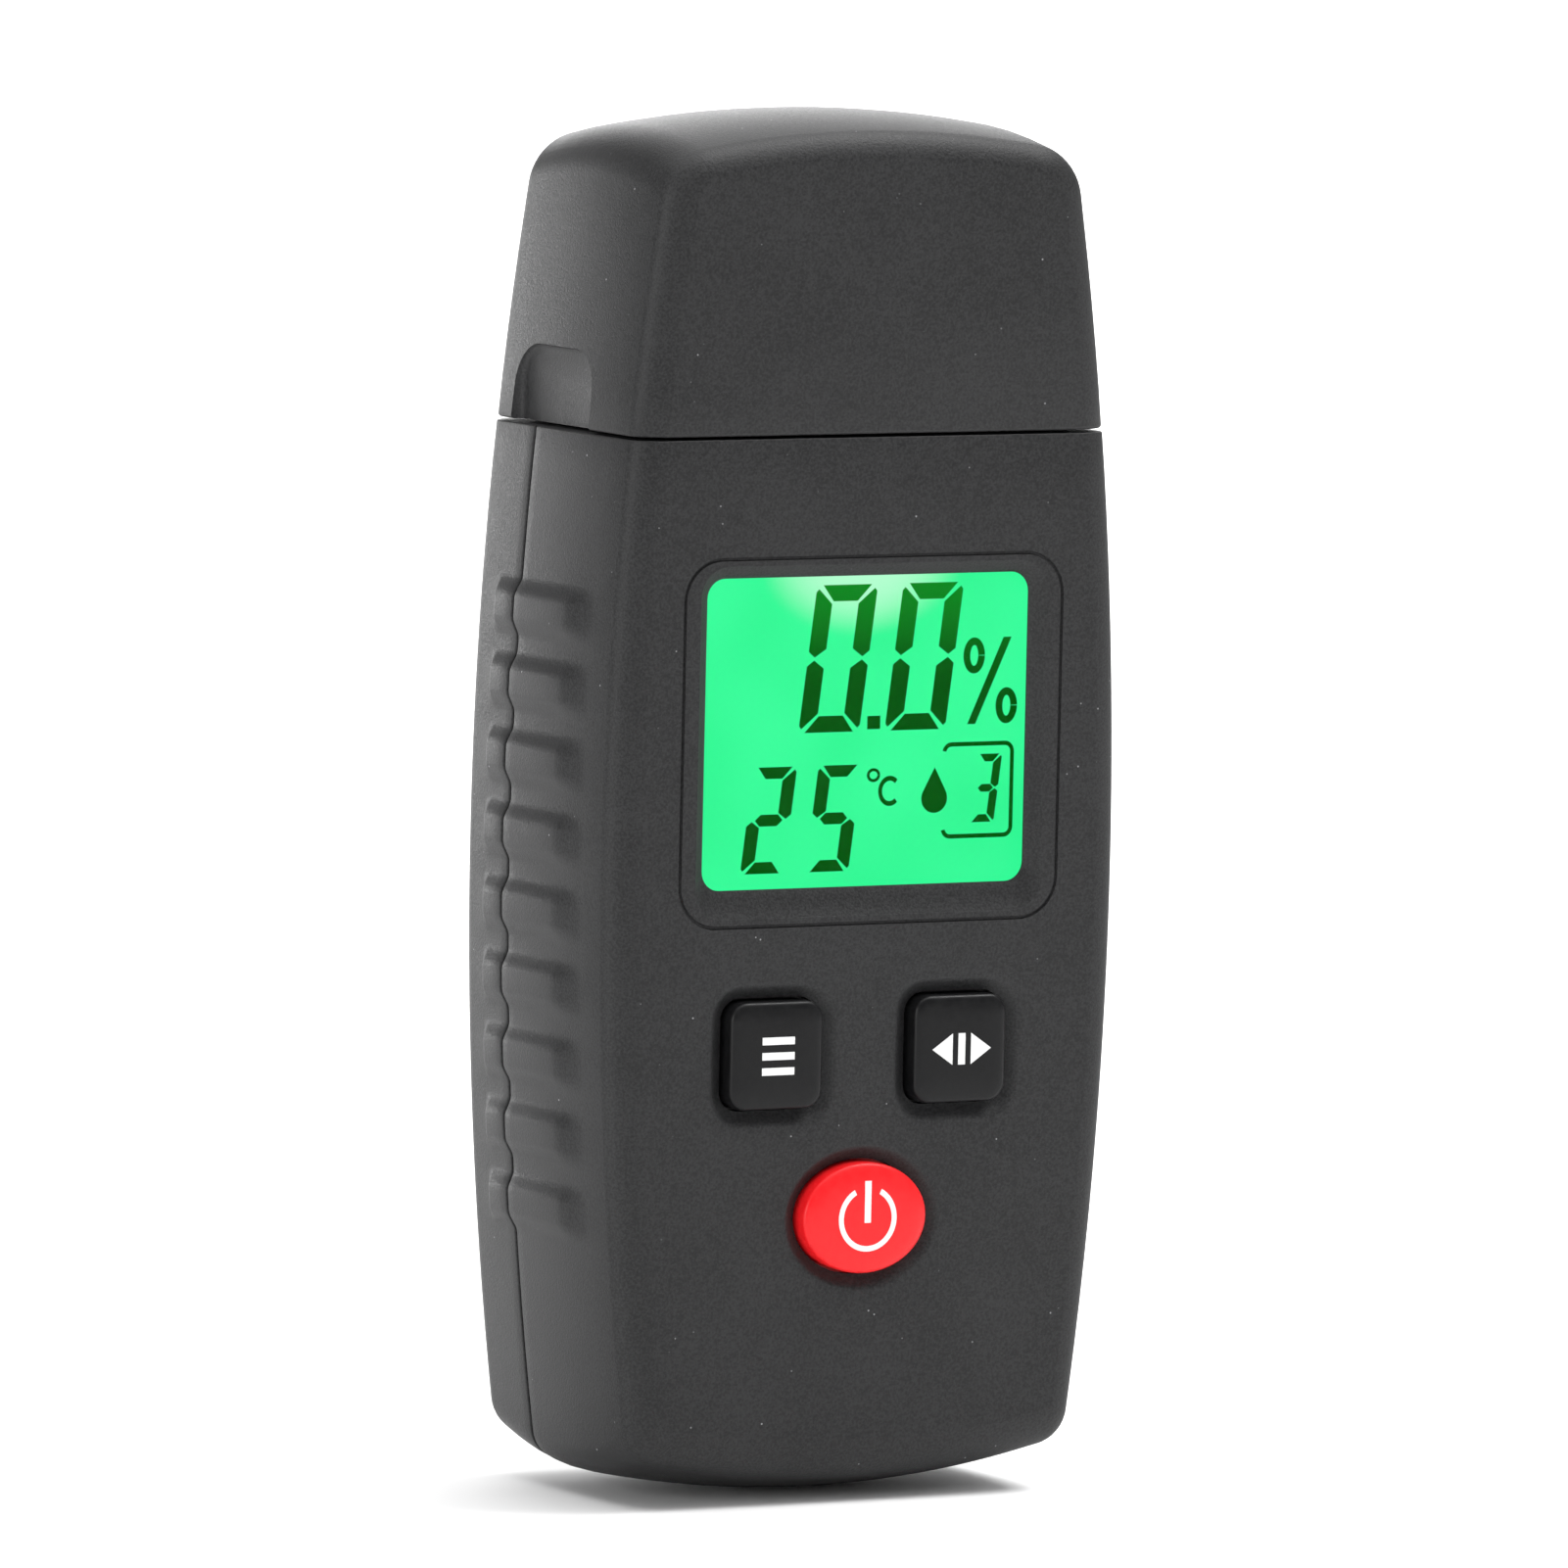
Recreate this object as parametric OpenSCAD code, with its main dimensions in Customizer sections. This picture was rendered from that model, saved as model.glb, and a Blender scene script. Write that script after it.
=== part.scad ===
// Pin-type wood moisture meter: a two-shell handset with a pull-off cap over its electrode pins.
// Frame: X across the face, Y from the front (-) to the back (+), Z up, standing on z = 0.

/* [Body] */
// Height of the meter with its cap on
height = 132; // [126:1:138]
// Width at the widest point
width = 55.4; // [54:0.1:58]
// Depth from the front face to the back face
depth = 30.5; // [30.5:0.1:32]
// Height of the widest point
widest_z = 61.2; // [57:0.1:66]
// Radius of the long side arcs
side_arc_r = 411; // [380:1:500]
// Radius of the arc across the top
top_arc_r = 110; // [90:1:140]
// Radius of the arc across the foot
foot_arc_r = 100; // [80:1:120]
// Corner radius at the top
top_corner_r = 5.5; // [5:0.5:7]
// Corner radius at the foot
foot_corner_r = 3.4; // [3.4:0.1:5]
// Rounding of the front and back edges
edge_r = 2.8; // [2.2:0.1:3]
// How much lower the cap's top is at the front and back than in the middle
crown = 2; // [1:0.1:2.4]
// How much higher the foot is at the front and back than in the middle
foot_crown = 3; // [1:0.1:3.2]
// Wall thickness of the shells round the sides
wall = 1.8; // [1.6:0.1:2]
// Wall thickness at the front and back
face_wall = 2; // [1.9:0.1:2.1]

/* [Joints between the shells] */
// Height of the body's rim, where the cap sits
rim_z = 101.7; // [100:0.1:103]
// Gap between the rim and the cap
cap_gap = 0.3; // [0.2:0.05:0.4]
// Distance from the front face to the parting plane of the two shells
parting_depth = 20.7; // [19.5:0.1:22]
// Gap at the parting line
parting_gap = 0.3; // [0.2:0.05:0.4]
// Width of each thumb recess at the foot of the cap
thumb_w = 15; // [10:0.5:18]
// Height of each thumb recess
thumb_h = 7.5; // [5:0.5:10]

/* [Grip] */
// Number of grip ribs on each side
rib_count = 9; // [5:1:9]
// Distance from rib to rib
rib_pitch = 7.1; // [6.5:0.1:7.1]
// Height of the lowest rib
rib_z0 = 27.7; // [26:0.1:30]
// How far a rib stands out
rib_h = 0.75; // [0.5:0.05:0.9]

/* [Display] */
// Width of the window
window_w = 35; // [30:0.5:36]
// Height of the window
window_h = 29.6; // [26:0.2:30]
// Height of the window's centre
window_z = 73.7; // [72:0.1:75]
// Width of the fine groove round the display
frame_w = 41; // [40:0.5:42]
// Height of the fine groove round the display
frame_h = 34.9; // [34:0.1:36]
// Height of the groove's centre
frame_z = 72.95; // [72:0.05:74]

/* [Buttons] */
// Distance from the centreline to each square button
key_x = 10; // [9:0.1:10.5]
// Height of the square buttons' centres
key_z = 43.25; // [42:0.05:44]
// Width of a square button
key_w = 10; // [9:0.1:10.2]
// Height of a square button
key_h = 10.3; // [9:0.1:10.5]
// Width of the oval power button
power_w = 13.4; // [12:0.1:14]
// Height of the oval power button
power_h = 10.6; // [10:0.1:11]
// Height of the power button's centre
power_z = 27.4; // [27:0.1:28]
// How far the square buttons stand out of the face
key_proud = 1; // [0.8:0.1:1.2]
// Travel of each button
press = 0.6; // [0.3:0.1:0.7]

/* [Electrodes] */
// Distance between the two electrode pins
pin_spacing = 20; // [18:0.5:22]
// Radius of an electrode pin
pin_r = 0.9; // [0.7:0.05:1]
// Height of the pin tips
tip_z = 123; // [120:0.5:124]

/* [Battery door] */
// Width of the battery door
door_w = 31; // [30:0.5:32]
// Height of the battery door
door_h = 54; // [53:0.5:55]
// Height of the door's lower edge
door_z = 10.7; // [10.5:0.1:11]
// Swing of the door in the posed model, up to this angle
door_open = 0; // [0:5:75]

/* [Hidden] */

charcoal = "#39393b";
key_black = "#151516";
board_green = "#1f5a33";
brass = "#c9a24a";
steel = "#b9bcc0";

fine = 64; // facets of a round part
gap = 0.3; // running clearance between moving pieces
snug = 0.15; // clearance between fixed pieces
big = 200; // longer than the meter, for cutting boxes

front_y = -depth / 2;
back_y = depth / 2;
parting_y = front_y + parting_depth;
half_w = width / 2;
inner_front_y = front_y + face_wall;
inner_back_y = back_y - face_wall;
shelf = 2; // thickness of the body's top wall
shelf_z = rim_z - shelf;
cap_z = rim_z + cap_gap;
cap_wall = 2;
edge_steps = 4; // facets across a rounded edge
edge_relief = 0.35; // the edge rounding is this much smaller along the top

// Parts behind the face, from the front to the back
lip_t = 1.35; // wall in front of the lens
lens_y = front_y + lip_t + snug;
lens_t = 1;
glass_y = lens_y + lens_t + snug;
glass_t = 2;
diffuser_y = glass_y + glass_t + 0.1;
diffuser_t = 2;
board_y = diffuser_y + diffuser_t + 0.1;
board_t = 1.6;
board_back_y = board_y + board_t;
board_w = 43;
board_z0 = 19;
board_z1 = 93.6;
post_x = 19.3; // board screws
post_zs = [22, 48.5];
post_r = 2.2;
switch_t = 2.6;
flange_y = inner_front_y + snug; // retaining flanges of the buttons
flange_t = 1;
flange_w = 1.25; // how far a flange reaches past its button

// Battery bay
tub_w = 30;
tub_wall = 1.35;
tub_y = board_back_y + 1.2;
tub_floor_t = 1;
tub_z0 = 9.4;
tub_z1 = 67;
cell_w = 26.5;
cell_d = 17.5;
cell_h = 46.4;
cell_z = 12;
cell_y = tub_y + tub_floor_t + snug;
cell_top = cell_z + cell_h;
cell_mid_y = cell_y + cell_d / 2;
stud_x = 6.35; // standard snap terminals, 12.7 apart
stud_h = 1.9;
small_stud_r = 2.85;
large_stud_r = 4;
lead_x = 4;
lead_r = 0.6;
lead_y = -0.5;
lead_z = 69.5;
door_t = 1.8;
hinge_r = door_t / 2;
hinge_y = back_y - hinge_r;
hinge_z = door_z + hinge_r;
peg_r = 0.6;
peg_len = 1.5;

// Case screws: two low, two just under the rim
screw_at = [[18.4, 14], [19.5, 96.6]];
boss_r = 2.7;
sunk_boss_r = 3.4;
screw_head_r = 2.3;
screw_head_y = 11.6;
screw_head_t = 1.5;
screw_r = 1.1;
screw_tip_y = -3;

// Electrode head
neck_gap = cap_wall + gap;
neck_top = rim_z + 5.8;
stem_w = 27;
stem_d = 12;
flange_grip = 1.5;
head_foot_z = 95.2;
socket_r = 2.6;
thread_r = 1.25;
nut_af = 5;
nut_t = 3.6;
nut_z = neck_top + snug;
taper = 4; // length of a pin's point

// ---- Outline of the handset, seen from the front ----

// n steps along an arc, with its last point only when closed is 1
function arc(c, r, a0, a1, n, closed = 1) =
    [for (i = [0:n - 1 + closed]) c + r * [cos(a0 + (a1 - a0) * i / n), sin(a0 + (a1 - a0) * i / n)]];

// The meeting point nearer the corner, of circles round c0 and c1; side picks which of the two
function meet(c0, r0, c1, r1, side) =
    let (d = norm(c1 - c0), u = (c1 - c0) / d, a = (r0 * r0 - r1 * r1 + d * d) / (2 * d), h = sqrt(r0 * r0 - a * a))
    c0 + a * u + side * h * [-u[1], u[0]];

function heading(from, to) = atan2(to[1] - from[1], to[0] - from[0]);

// Right half, from the middle of the foot to the middle of the top, drawn in by inset
function half_outline(inset, top, foot) =
    let (side_c = [half_w - side_arc_r, widest_z],
         top_c = [0, top - top_arc_r],
         foot_c = [0, foot + foot_arc_r],
         top_f = meet(side_c, side_arc_r - top_corner_r, top_c, top_arc_r - top_corner_r, 1),
         foot_f = meet(side_c, side_arc_r - foot_corner_r, foot_c, foot_arc_r - foot_corner_r, -1),
         foot_a = heading(foot_c, foot_f),
         side_a0 = heading(side_c, foot_f),
         side_a1 = heading(side_c, top_f),
         top_a = heading(top_c, top_f))
    concat(arc(foot_c, foot_arc_r - inset, -90, foot_a, 4, 0),
        arc(foot_f, foot_corner_r - inset, foot_a, side_a0, 4, 0),
        arc(side_c, side_arc_r - inset, side_a0, side_a1, 9, 0),
        arc(top_f, top_corner_r - inset, side_a1, top_a, 5, 0),
        arc(top_c, top_arc_r - inset, top_a, 90, 5));

function outline(inset, top, foot) =
    let (right = half_outline(inset, top, foot))
    concat(right, [for (i = [len(right) - 2:-1:1]) [-right[i][0], right[i][1]]]);

function side_x(z) = half_w - (z - widest_z) * (z - widest_z) / (2 * side_arc_r);

// Draws a shape given in x and z, from y0 to y1
module slab(y0, y1) translate([0, y1, 0]) rotate([90, 0, 0]) linear_extrude(y1 - y0) children();

function slice_top(y, inset) = height - crown * pow(2 * y / depth, 2) + edge_relief * inset;
function slice_foot(y) = foot_crown * pow(2 * y / depth, 2);

// The closed handset, drawn in by skin round the outline and by face_skin at the front and back,
// with its front and back edges rounded to r
module handset(skin, face_skin, r) {
    half = depth / 2 - face_skin;
    hull() {
        for (a = [0:90 / edge_steps:90]) {
            y = half - r * (1 - cos(a));
            inset = r * (1 - sin(a));
            slab(-y, y) polygon(outline(skin + inset, slice_top(y, inset), slice_foot(y)));
        }
        // The crowns, which bend only the top and the foot
        foot_reach = foot_corner_r + 1;
        for (y = half * [0.1, 0.35, 0.6])
            slab(-y, y) polygon([for (p = outline(skin, slice_top(y, 0), slice_foot(y)))
                if (p[1] > height - top_corner_r || p[1] < foot_reach) p]);
    }
}

// Keeps what lies between two heights and two depths
module keep(y0, y1, z0, z1) intersection() {
    children();
    translate([-big / 2, y0, z0]) cube([big, y1 - y0, z1 - z0]);
}

// The band between two insets of the outline at the parting plane
module ring(inset0, inset1) difference() {
    polygon(outline(inset0, height, slice_foot(parting_y)));
    polygon(outline(inset1, height, slice_foot(parting_y)));
}

function rounded(w, h, r) = concat(
    arc([w / 2 - r, h / 2 - r], r, 0, 90, 6), arc([r - w / 2, h / 2 - r], r, 90, 180, 6),
    arc([r - w / 2, r - h / 2], r, 180, 270, 6), arc([w / 2 - r, r - h / 2], r, 270, 360, 6));

function oval(w, h) = [for (a = [0:7.5:352.5]) [w / 2 * cos(a), h / 2 * sin(a)]];

module block(x0, x1, y0, y1, z0, z1) translate([x0, y0, z0]) cube([x1 - x0, y1 - y0, z1 - z0]);

// A round bar along Y
module rod(x, z, r, y0, y1) translate([x, y1, z]) rotate([90, 0, 0]) cylinder(h = y1 - y0, r = r, $fn = fine);

module both_sides() {
    children();
    mirror([1, 0, 0]) children();
}

// ---- Shells ----

// One raised rib on the right side: its slopes run straight into the side wall
module rib(z) {
    x = side_x(z);
    root = 1;
    flat = 1.4;
    foot = flat + (root + rib_h) * 1.3;
    rib_y0 = front_y + 7;
    rib_y1 = front_y + 25.4;
    lead_in = 3.5;
    lead_out = 1;
    intersection() {
        slab(rib_y0 - lead_in * root / rib_h, rib_y1 + 2) polygon([
            [side_x(z - flat) + rib_h, z - flat], [side_x(z + flat) + rib_h, z + flat],
            [x - root, z + foot], [x - root, z - foot]]);
        translate([0, 0, z - rib_pitch / 2]) linear_extrude(rib_pitch) polygon([
            [x - root, rib_y0 - lead_in * root / rib_h], [x + 1.5 * rib_h, rib_y0 + 1.5 * lead_in],
            [x + 1.5 * rib_h, rib_y1 - lead_out], [x - root, rib_y1 + lead_out]]);
    }
}

module ribs() for (i = [0:rib_count - 1]) both_sides() rib(rib_z0 + i * rib_pitch);

module hollow_body() difference() {
    inner_r = 1.2;
    union() {
        keep(-big, big, -1, rim_z) handset(0, 0, edge_r);
        ribs();
    }
    keep(-big, big, -1, shelf_z) handset(wall, face_wall, inner_r);
    block(-stem_w / 2 - snug, stem_w / 2 + snug, -stem_d / 2 - snug, stem_d / 2 + snug, shelf_z - 1, rim_z + 1);
}

module front_shell() color(charcoal) {
    moat_d = 1;
    bevel = 1.2;
    groove_w = 0.35;
    groove_d = 0.3;
    post_hole_r = 0.95;
    lens_room = [window_w + 3, window_h + 3];
    difference() {
        union() {
            keep(-big, parting_y - parting_gap / 2, -1, rim_z) hollow_body();
            both_sides() for (p = screw_at) rod(p[0], p[1], boss_r, inner_front_y - 0.5, parting_y - gap);
            both_sides() for (z = post_zs) rod(post_x, z, post_r, inner_front_y - 0.5, board_y - 0.05);
        }
        both_sides() for (p = screw_at) rod(p[0], p[1], screw_r + snug, screw_tip_y - 1, parting_y);
        both_sides() for (z = post_zs) rod(post_x, z, post_hole_r, inner_front_y + 0.8, board_y + 1);
        // Window with its sloping bevel, and the room for the lens behind it
        hull() {
            slab(front_y - 0.1, front_y) translate([0, window_z - 0.7])
                polygon(rounded(window_w + 2 * bevel + 0.8, window_h + 2 * bevel + 1, 2.6));
            slab(front_y + lip_t - 0.5, front_y + lip_t + 0.3) translate([0, window_z])
                polygon(rounded(window_w, window_h, 1.9));
        }
        slab(front_y + lip_t, inner_front_y + 1) translate([0, window_z]) square(lens_room, center = true);
        slab(front_y - 1, front_y + groove_d) translate([0, frame_z]) difference() {
            polygon(rounded(frame_w, frame_h, 4));
            polygon(rounded(frame_w - 2 * groove_w, frame_h - 2 * groove_w, 4 - groove_w));
        }
        for (x = [-key_x, key_x]) translate([x, 0, key_z]) {
            slab(front_y - 1, front_y + moat_d) polygon(rounded(key_w + 3.4, key_h + 2.8, 3));
            slab(front_y - 1, inner_front_y + 1) polygon(rounded(key_w + 2 * gap, key_h + 2 * gap, 1.8));
        }
        translate([0, 0, power_z]) {
            slab(front_y - 1, front_y + moat_d) polygon(oval(power_w + 3.2, power_h + 2.9));
            slab(front_y - 1, inner_front_y + 1) polygon(oval(power_w + 2 * gap, power_h + 2 * gap));
        }
    }
}

module back_shell() color(charcoal) {
    lip = 0.9;
    lip_reach = 1.6;
    lip_root = 1.2;
    lip_gap = 0.15;
    frame_gap = 0.3;
    hinge_block = 3.2;
    slot_half = 7;
    difference() {
        union() {
            keep(parting_y + parting_gap / 2, big, -1, rim_z) hollow_body();
            // Locating lip that reaches inside the front shell, on its thicker root
            keep(-big, big, -1, shelf_z + 0.3) {
                slab(parting_y - lip_reach, parting_y + lip_root) ring(wall + lip_gap, wall + lip_gap + lip);
                slab(parting_y + parting_gap / 2, parting_y + lip_root) ring(wall - 0.3, wall + lip_gap + lip);
            }
            block(-tub_w / 2, tub_w / 2, tub_y, inner_back_y + 0.5, tub_z0, tub_z1);
            both_sides() block(tub_w / 2 - 0.5, tub_w / 2 + hinge_block, inner_back_y - 1.4, inner_back_y + 0.2,
                door_z - 1.3, door_z + 3.4);
            both_sides() for (p = screw_at)
                rod(p[0], p[1], sunk_boss_r, parting_y + parting_gap / 2, back_y - edge_r / 2);
        }
        // Battery bay and the door's opening
        block(tub_wall - tub_w / 2, tub_w / 2 - tub_wall, tub_y + tub_floor_t, back_y + 1,
            tub_z0 + tub_floor_t, tub_z1 - tub_floor_t - 1.8);
        block(-door_w / 2 - frame_gap, door_w / 2 + frame_gap, back_y - door_t - snug, back_y + 1,
            door_z - frame_gap, door_z + door_h + frame_gap);
        // Slot for the battery leads in the bay's top wall
        block(-slot_half, slot_half, lead_y - 2, lead_y + 2, tub_z1 - 4, tub_z1 + 1);
        translate([-door_w / 2 - peg_len - frame_gap - 0.2, hinge_y, hinge_z]) rotate([0, 90, 0])
            cylinder(h = door_w + 2 * (peg_len + frame_gap + 0.2), r = peg_r + snug, $fn = fine);
        both_sides() for (p = screw_at) {
            rod(p[0], p[1], screw_head_r + gap, screw_head_y - snug, back_y + 1);
            rod(p[0], p[1], screw_r + snug, parting_y - 3, back_y);
        }
        block(-stem_w / 2 - snug, stem_w / 2 + snug, -stem_d / 2 - snug, stem_d / 2 + snug, shelf_z - 5, rim_z + 1);
    }
}

module cap() color(charcoal) difference() {
    inner_r = 1.2;
    thumb_r = 4;
    thumb_mid_y = front_y + 10.6 + thumb_w / 2;
    thumb_floor_x = side_x(cap_z) - 1.3;
    keep(-big, big, cap_z, big) handset(0, 0, edge_r);
    keep(-big, big, cap_z - 1, big) handset(cap_wall, cap_wall, inner_r);
    both_sides() translate([thumb_floor_x, thumb_mid_y, cap_z - thumb_h]) rotate([90, 0, 90])
        linear_extrude(5) polygon(rounded(thumb_w, 4 * thumb_h, thumb_r));
}

module battery_door() color(charcoal) translate([0, hinge_y, hinge_z]) rotate([-door_open, 0, 0])
translate([0, -hinge_y, -hinge_z]) {
    grip_zs = [door_z + door_h - 12, door_z + door_h - 10, door_z + door_h - 8];
    grip_w = 12;
    groove = 0.5;
    latch_w = 10;
    difference() {
        union() {
            block(-door_w / 2, door_w / 2, back_y - door_t, back_y, hinge_z, door_z + door_h);
            translate([-door_w / 2, hinge_y, hinge_z]) rotate([0, 90, 0])
                cylinder(h = door_w, r = hinge_r, $fn = fine);
            translate([-door_w / 2 - peg_len, hinge_y, hinge_z]) rotate([0, 90, 0])
                cylinder(h = door_w + 2 * peg_len, r = peg_r, $fn = fine);
            block(-latch_w / 2, latch_w / 2, back_y - door_t - 2.2, back_y - door_t + 0.2,
                door_z + door_h - 5.6, door_z + door_h - 4.4);
        }
        for (z = grip_zs) block(-grip_w / 2, grip_w / 2, back_y - groove, back_y + 1, z, z + 1);
    }
}

// ---- Battery ----

module battery() color("#2f4f6f") translate([0, cell_mid_y, cell_z]) linear_extrude(cell_h)
    polygon(rounded(cell_w, cell_d, 2));

module battery_terminals() color(steel) translate([0, cell_mid_y, cell_top]) {
    translate([-stud_x, 0, 0]) cylinder(h = stud_h, r = small_stud_r, $fn = fine);
    translate([stud_x, 0, 0]) difference() {
        cylinder(h = stud_h, r = large_stud_r, $fn = 6);
        translate([0, 0, 0.5]) cylinder(h = stud_h, r = small_stud_r, $fn = fine);
    }
}

module battery_snap() color("#101010") translate([0, cell_mid_y, cell_top + snug]) difference() {
    snap_h = 3.4;
    translate([-12.5, -6.3, 0]) cube([25, 12.6, snap_h]);
    translate([-stud_x, 0, -1]) cylinder(h = stud_h + 1.1, r = small_stud_r + 0.2, $fn = fine);
    translate([stud_x, 0, -1]) cylinder(h = stud_h + 1.1, r = large_stud_r + 0.2, $fn = fine);
}

// A lead that follows straight stretches with round corners
module wire(points, r) {
    for (i = [0:len(points) - 2]) {
        run = points[i + 1] - points[i];
        translate(points[i]) rotate([0, acos(run[2] / norm(run)), atan2(run[1], run[0])])
            cylinder(h = norm(run), r = r, $fn = 24);
    }
    if (len(points) > 2) for (i = [1:len(points) - 2]) translate(points[i]) sphere(r = r, $fn = 24);
}

module battery_lead(x) {
    snap_top = cell_top + snug + 3.4;
    wire([[x, lead_y, snap_top], [x, lead_y, lead_z], [x, board_back_y, lead_z]], lead_r);
}

module battery_lead_red() color("#c02020") battery_lead(-lead_x);
module battery_lead_black() color("#181818") battery_lead(lead_x);

// ---- Circuit board ----

module circuit_board() color(board_green) difference() {
    hole_r = 1;
    block(-board_w / 2, board_w / 2, board_y, board_back_y, board_z0, board_z1);
    both_sides() for (z = post_zs) rod(post_x, z, hole_r, board_y - 1, board_back_y + 1);
}

module microcontroller() color("#202022") {
    chip = 10;
    chip_z = 76;
    block(-chip / 2, chip / 2, board_back_y, board_back_y + 1.2, chip_z, chip_z + chip);
}

module small_components() color("#8a6a3a") {
    for (i = [0:4]) block(-17 + 2.6 * i, -15.4 + 2.6 * i, board_back_y, board_back_y + 0.6, 86, 86.9);
    for (i = [0:3]) block(8 + 2.6 * i, 9.6 + 2.6 * i, board_back_y, board_back_y + 0.6, 70, 70.9);
}

module buzzer() color("#1a1a1a") difference() {
    buzzer_at = [-14, 78];
    buzzer_r = 5;
    buzzer_t = 5;
    rod(buzzer_at[0], buzzer_at[1], buzzer_r, board_back_y, board_back_y + buzzer_t);
    rod(buzzer_at[0], buzzer_at[1], 0.8, board_back_y + buzzer_t - 1, board_back_y + buzzer_t + 1);
}

module thermistor() color("#3a2a20") {
    bead_at = [15, 0, 86];
    for (x = [-0.6, 0.6]) rod(bead_at[0] + x, bead_at[2], 0.3, board_back_y, 0);
    translate(bead_at) sphere(r = 1.3, $fn = fine);
}

// ---- Display ----

module lcd_panel() color("#9fc7a0") slab(glass_y, glass_y + glass_t)
    translate([0, window_z - 1.6]) square([39, 38.2], center = true);

module lcd_holder() color("#e6e6e2") slab(glass_y - 0.1, board_y - 0.05) translate([0, window_z - 1.35])
    difference() {
        square([42.6, 42.3], center = true);
        square([39.6, 39.5], center = true);
    }

module backlight_diffuser() color("#e8f4e8") slab(diffuser_y, diffuser_y + diffuser_t)
    translate([0, window_z - 0.3]) square([38, 32], center = true);

module backlight_led() color("#f4f4ee") block(-1.6, 1.6, diffuser_y + 0.1, diffuser_y + diffuser_t,
    window_z + 15.9, window_z + 17.5);

module zebra_strip() color("#d0879a") block(-18, 18, diffuser_y, board_y - 0.05, window_z - 20.2, window_z - 17.9);

module window_lens() color("#dff2e6") slab(lens_y, lens_y + lens_t)
    translate([0, window_z]) square([window_w + 2, window_h + 2], center = true);

// ---- Buttons and their switches ----

module square_button(x) translate([x, 0, key_z]) {
    slab(front_y - key_proud, flange_y + 0.1) polygon(rounded(key_w, key_h, 1.8));
    slab(flange_y, flange_y + flange_t) polygon(rounded(key_w + 2 * flange_w, key_h + 2 * flange_w, 2));
}

module mode_button() color(key_black) square_button(-key_x);
module set_button() color(key_black) square_button(key_x);

module power_button() color("#e3262b") translate([0, 0, power_z]) {
    dome = 0.45;
    power_proud = 1.2;
    slab(front_y - power_proud + dome, flange_y + 0.1) polygon(oval(power_w, power_h));
    slab(front_y - power_proud + dome / 2, front_y) polygon(oval(power_w - 0.7, power_h - 0.7));
    slab(front_y - power_proud, front_y) polygon(oval(power_w - 2.2, power_h - 2.2));
    slab(flange_y, flange_y + flange_t) polygon(oval(power_w + 2 * flange_w, power_h + 2 * flange_w));
}

plunger_r = 1.7;
plunger_dip = 0.5; // how deep the plunger sits in its switch at rest
switch_y = board_y - switch_t;

module plunger(x, z) rod(x, z, plunger_r, flange_y + flange_t, switch_y + plunger_dip);

module tact_switch(x, z) difference() {
    block(x - 3, x + 3, switch_y, board_y, z - 3, z + 3);
    rod(x, z, plunger_r + snug, switch_y - 1, switch_y + plunger_dip + press + gap);
}

module mode_plunger() color("#303034") plunger(-key_x, key_z);
module set_plunger() color("#303034") plunger(key_x, key_z);
module power_plunger() color("#303034") plunger(0, power_z);
module mode_switch() color("#55575c") tact_switch(-key_x, key_z);
module set_switch() color("#55575c") tact_switch(key_x, key_z);
module power_switch() color("#55575c") tact_switch(0, power_z);

// ---- Electrode head ----

// Insulating head: a neck that the cap slides over, a stem through the rim and a flange below it
module pin_head() color("#242426") difference() {
    neck_w = 2 * (side_x(neck_top) - neck_gap);
    neck_d = depth - 2 * neck_gap;
    flange_top = shelf_z - snug;
    union() {
        translate([0, 0, rim_z + 0.1]) linear_extrude(neck_top - rim_z - 0.1) polygon(rounded(neck_w, neck_d, 2));
        block(-stem_w / 2, stem_w / 2, -stem_d / 2, stem_d / 2, head_foot_z, rim_z + 1);
        block(-stem_w / 2 - flange_grip, stem_w / 2 + flange_grip, -stem_d / 2 - flange_grip,
            stem_d / 2 + flange_grip, head_foot_z + 1.5, flange_top);
    }
    for (x = [-pin_spacing / 2, pin_spacing / 2]) translate([x, 0, head_foot_z - 1])
        cylinder(h = neck_top - head_foot_z + 2, r = socket_r + 0.05, $fn = fine);
}

module pin_socket(x) color(brass) translate([x, 0, head_foot_z]) difference() {
    cylinder(h = neck_top - head_foot_z, r = socket_r, $fn = fine);
    translate([0, 0, 3]) cylinder(h = neck_top, r = thread_r + snug, $fn = fine);
}

module electrode_pin(x) color(steel) translate([x, 0, 0]) {
    translate([0, 0, head_foot_z + 3.5]) cylinder(h = nut_z + nut_t - head_foot_z - 3.5, r = thread_r, $fn = fine);
    translate([0, 0, nut_z + nut_t - 1]) cylinder(h = tip_z - taper - nut_z - nut_t + 1, r = pin_r, $fn = fine);
    translate([0, 0, tip_z - taper]) cylinder(h = taper, r1 = pin_r, r2 = 0.1, $fn = fine);
}

module pin_nut(x) color(brass) translate([x, 0, nut_z]) difference() {
    cylinder(h = nut_t, r = nut_af / 2 / cos(30), $fn = 6);
    translate([0, 0, -1]) cylinder(h = nut_t + 2, r = thread_r + snug, $fn = fine);
}

module pin_lead(x) wire([[x, 0, head_foot_z], [x, 0, 90], [x, board_back_y, 90]], lead_r);

module pin_socket_left() pin_socket(-pin_spacing / 2);
module pin_socket_right() pin_socket(pin_spacing / 2);
module electrode_pin_left() electrode_pin(-pin_spacing / 2);
module electrode_pin_right() electrode_pin(pin_spacing / 2);
module pin_nut_left() pin_nut(-pin_spacing / 2);
module pin_nut_right() pin_nut(pin_spacing / 2);
module pin_lead_left() color("#f0f0ea") pin_lead(-pin_spacing / 2);
module pin_lead_right() color("#f0f0ea") pin_lead(pin_spacing / 2);

// ---- Fasteners ----

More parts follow.
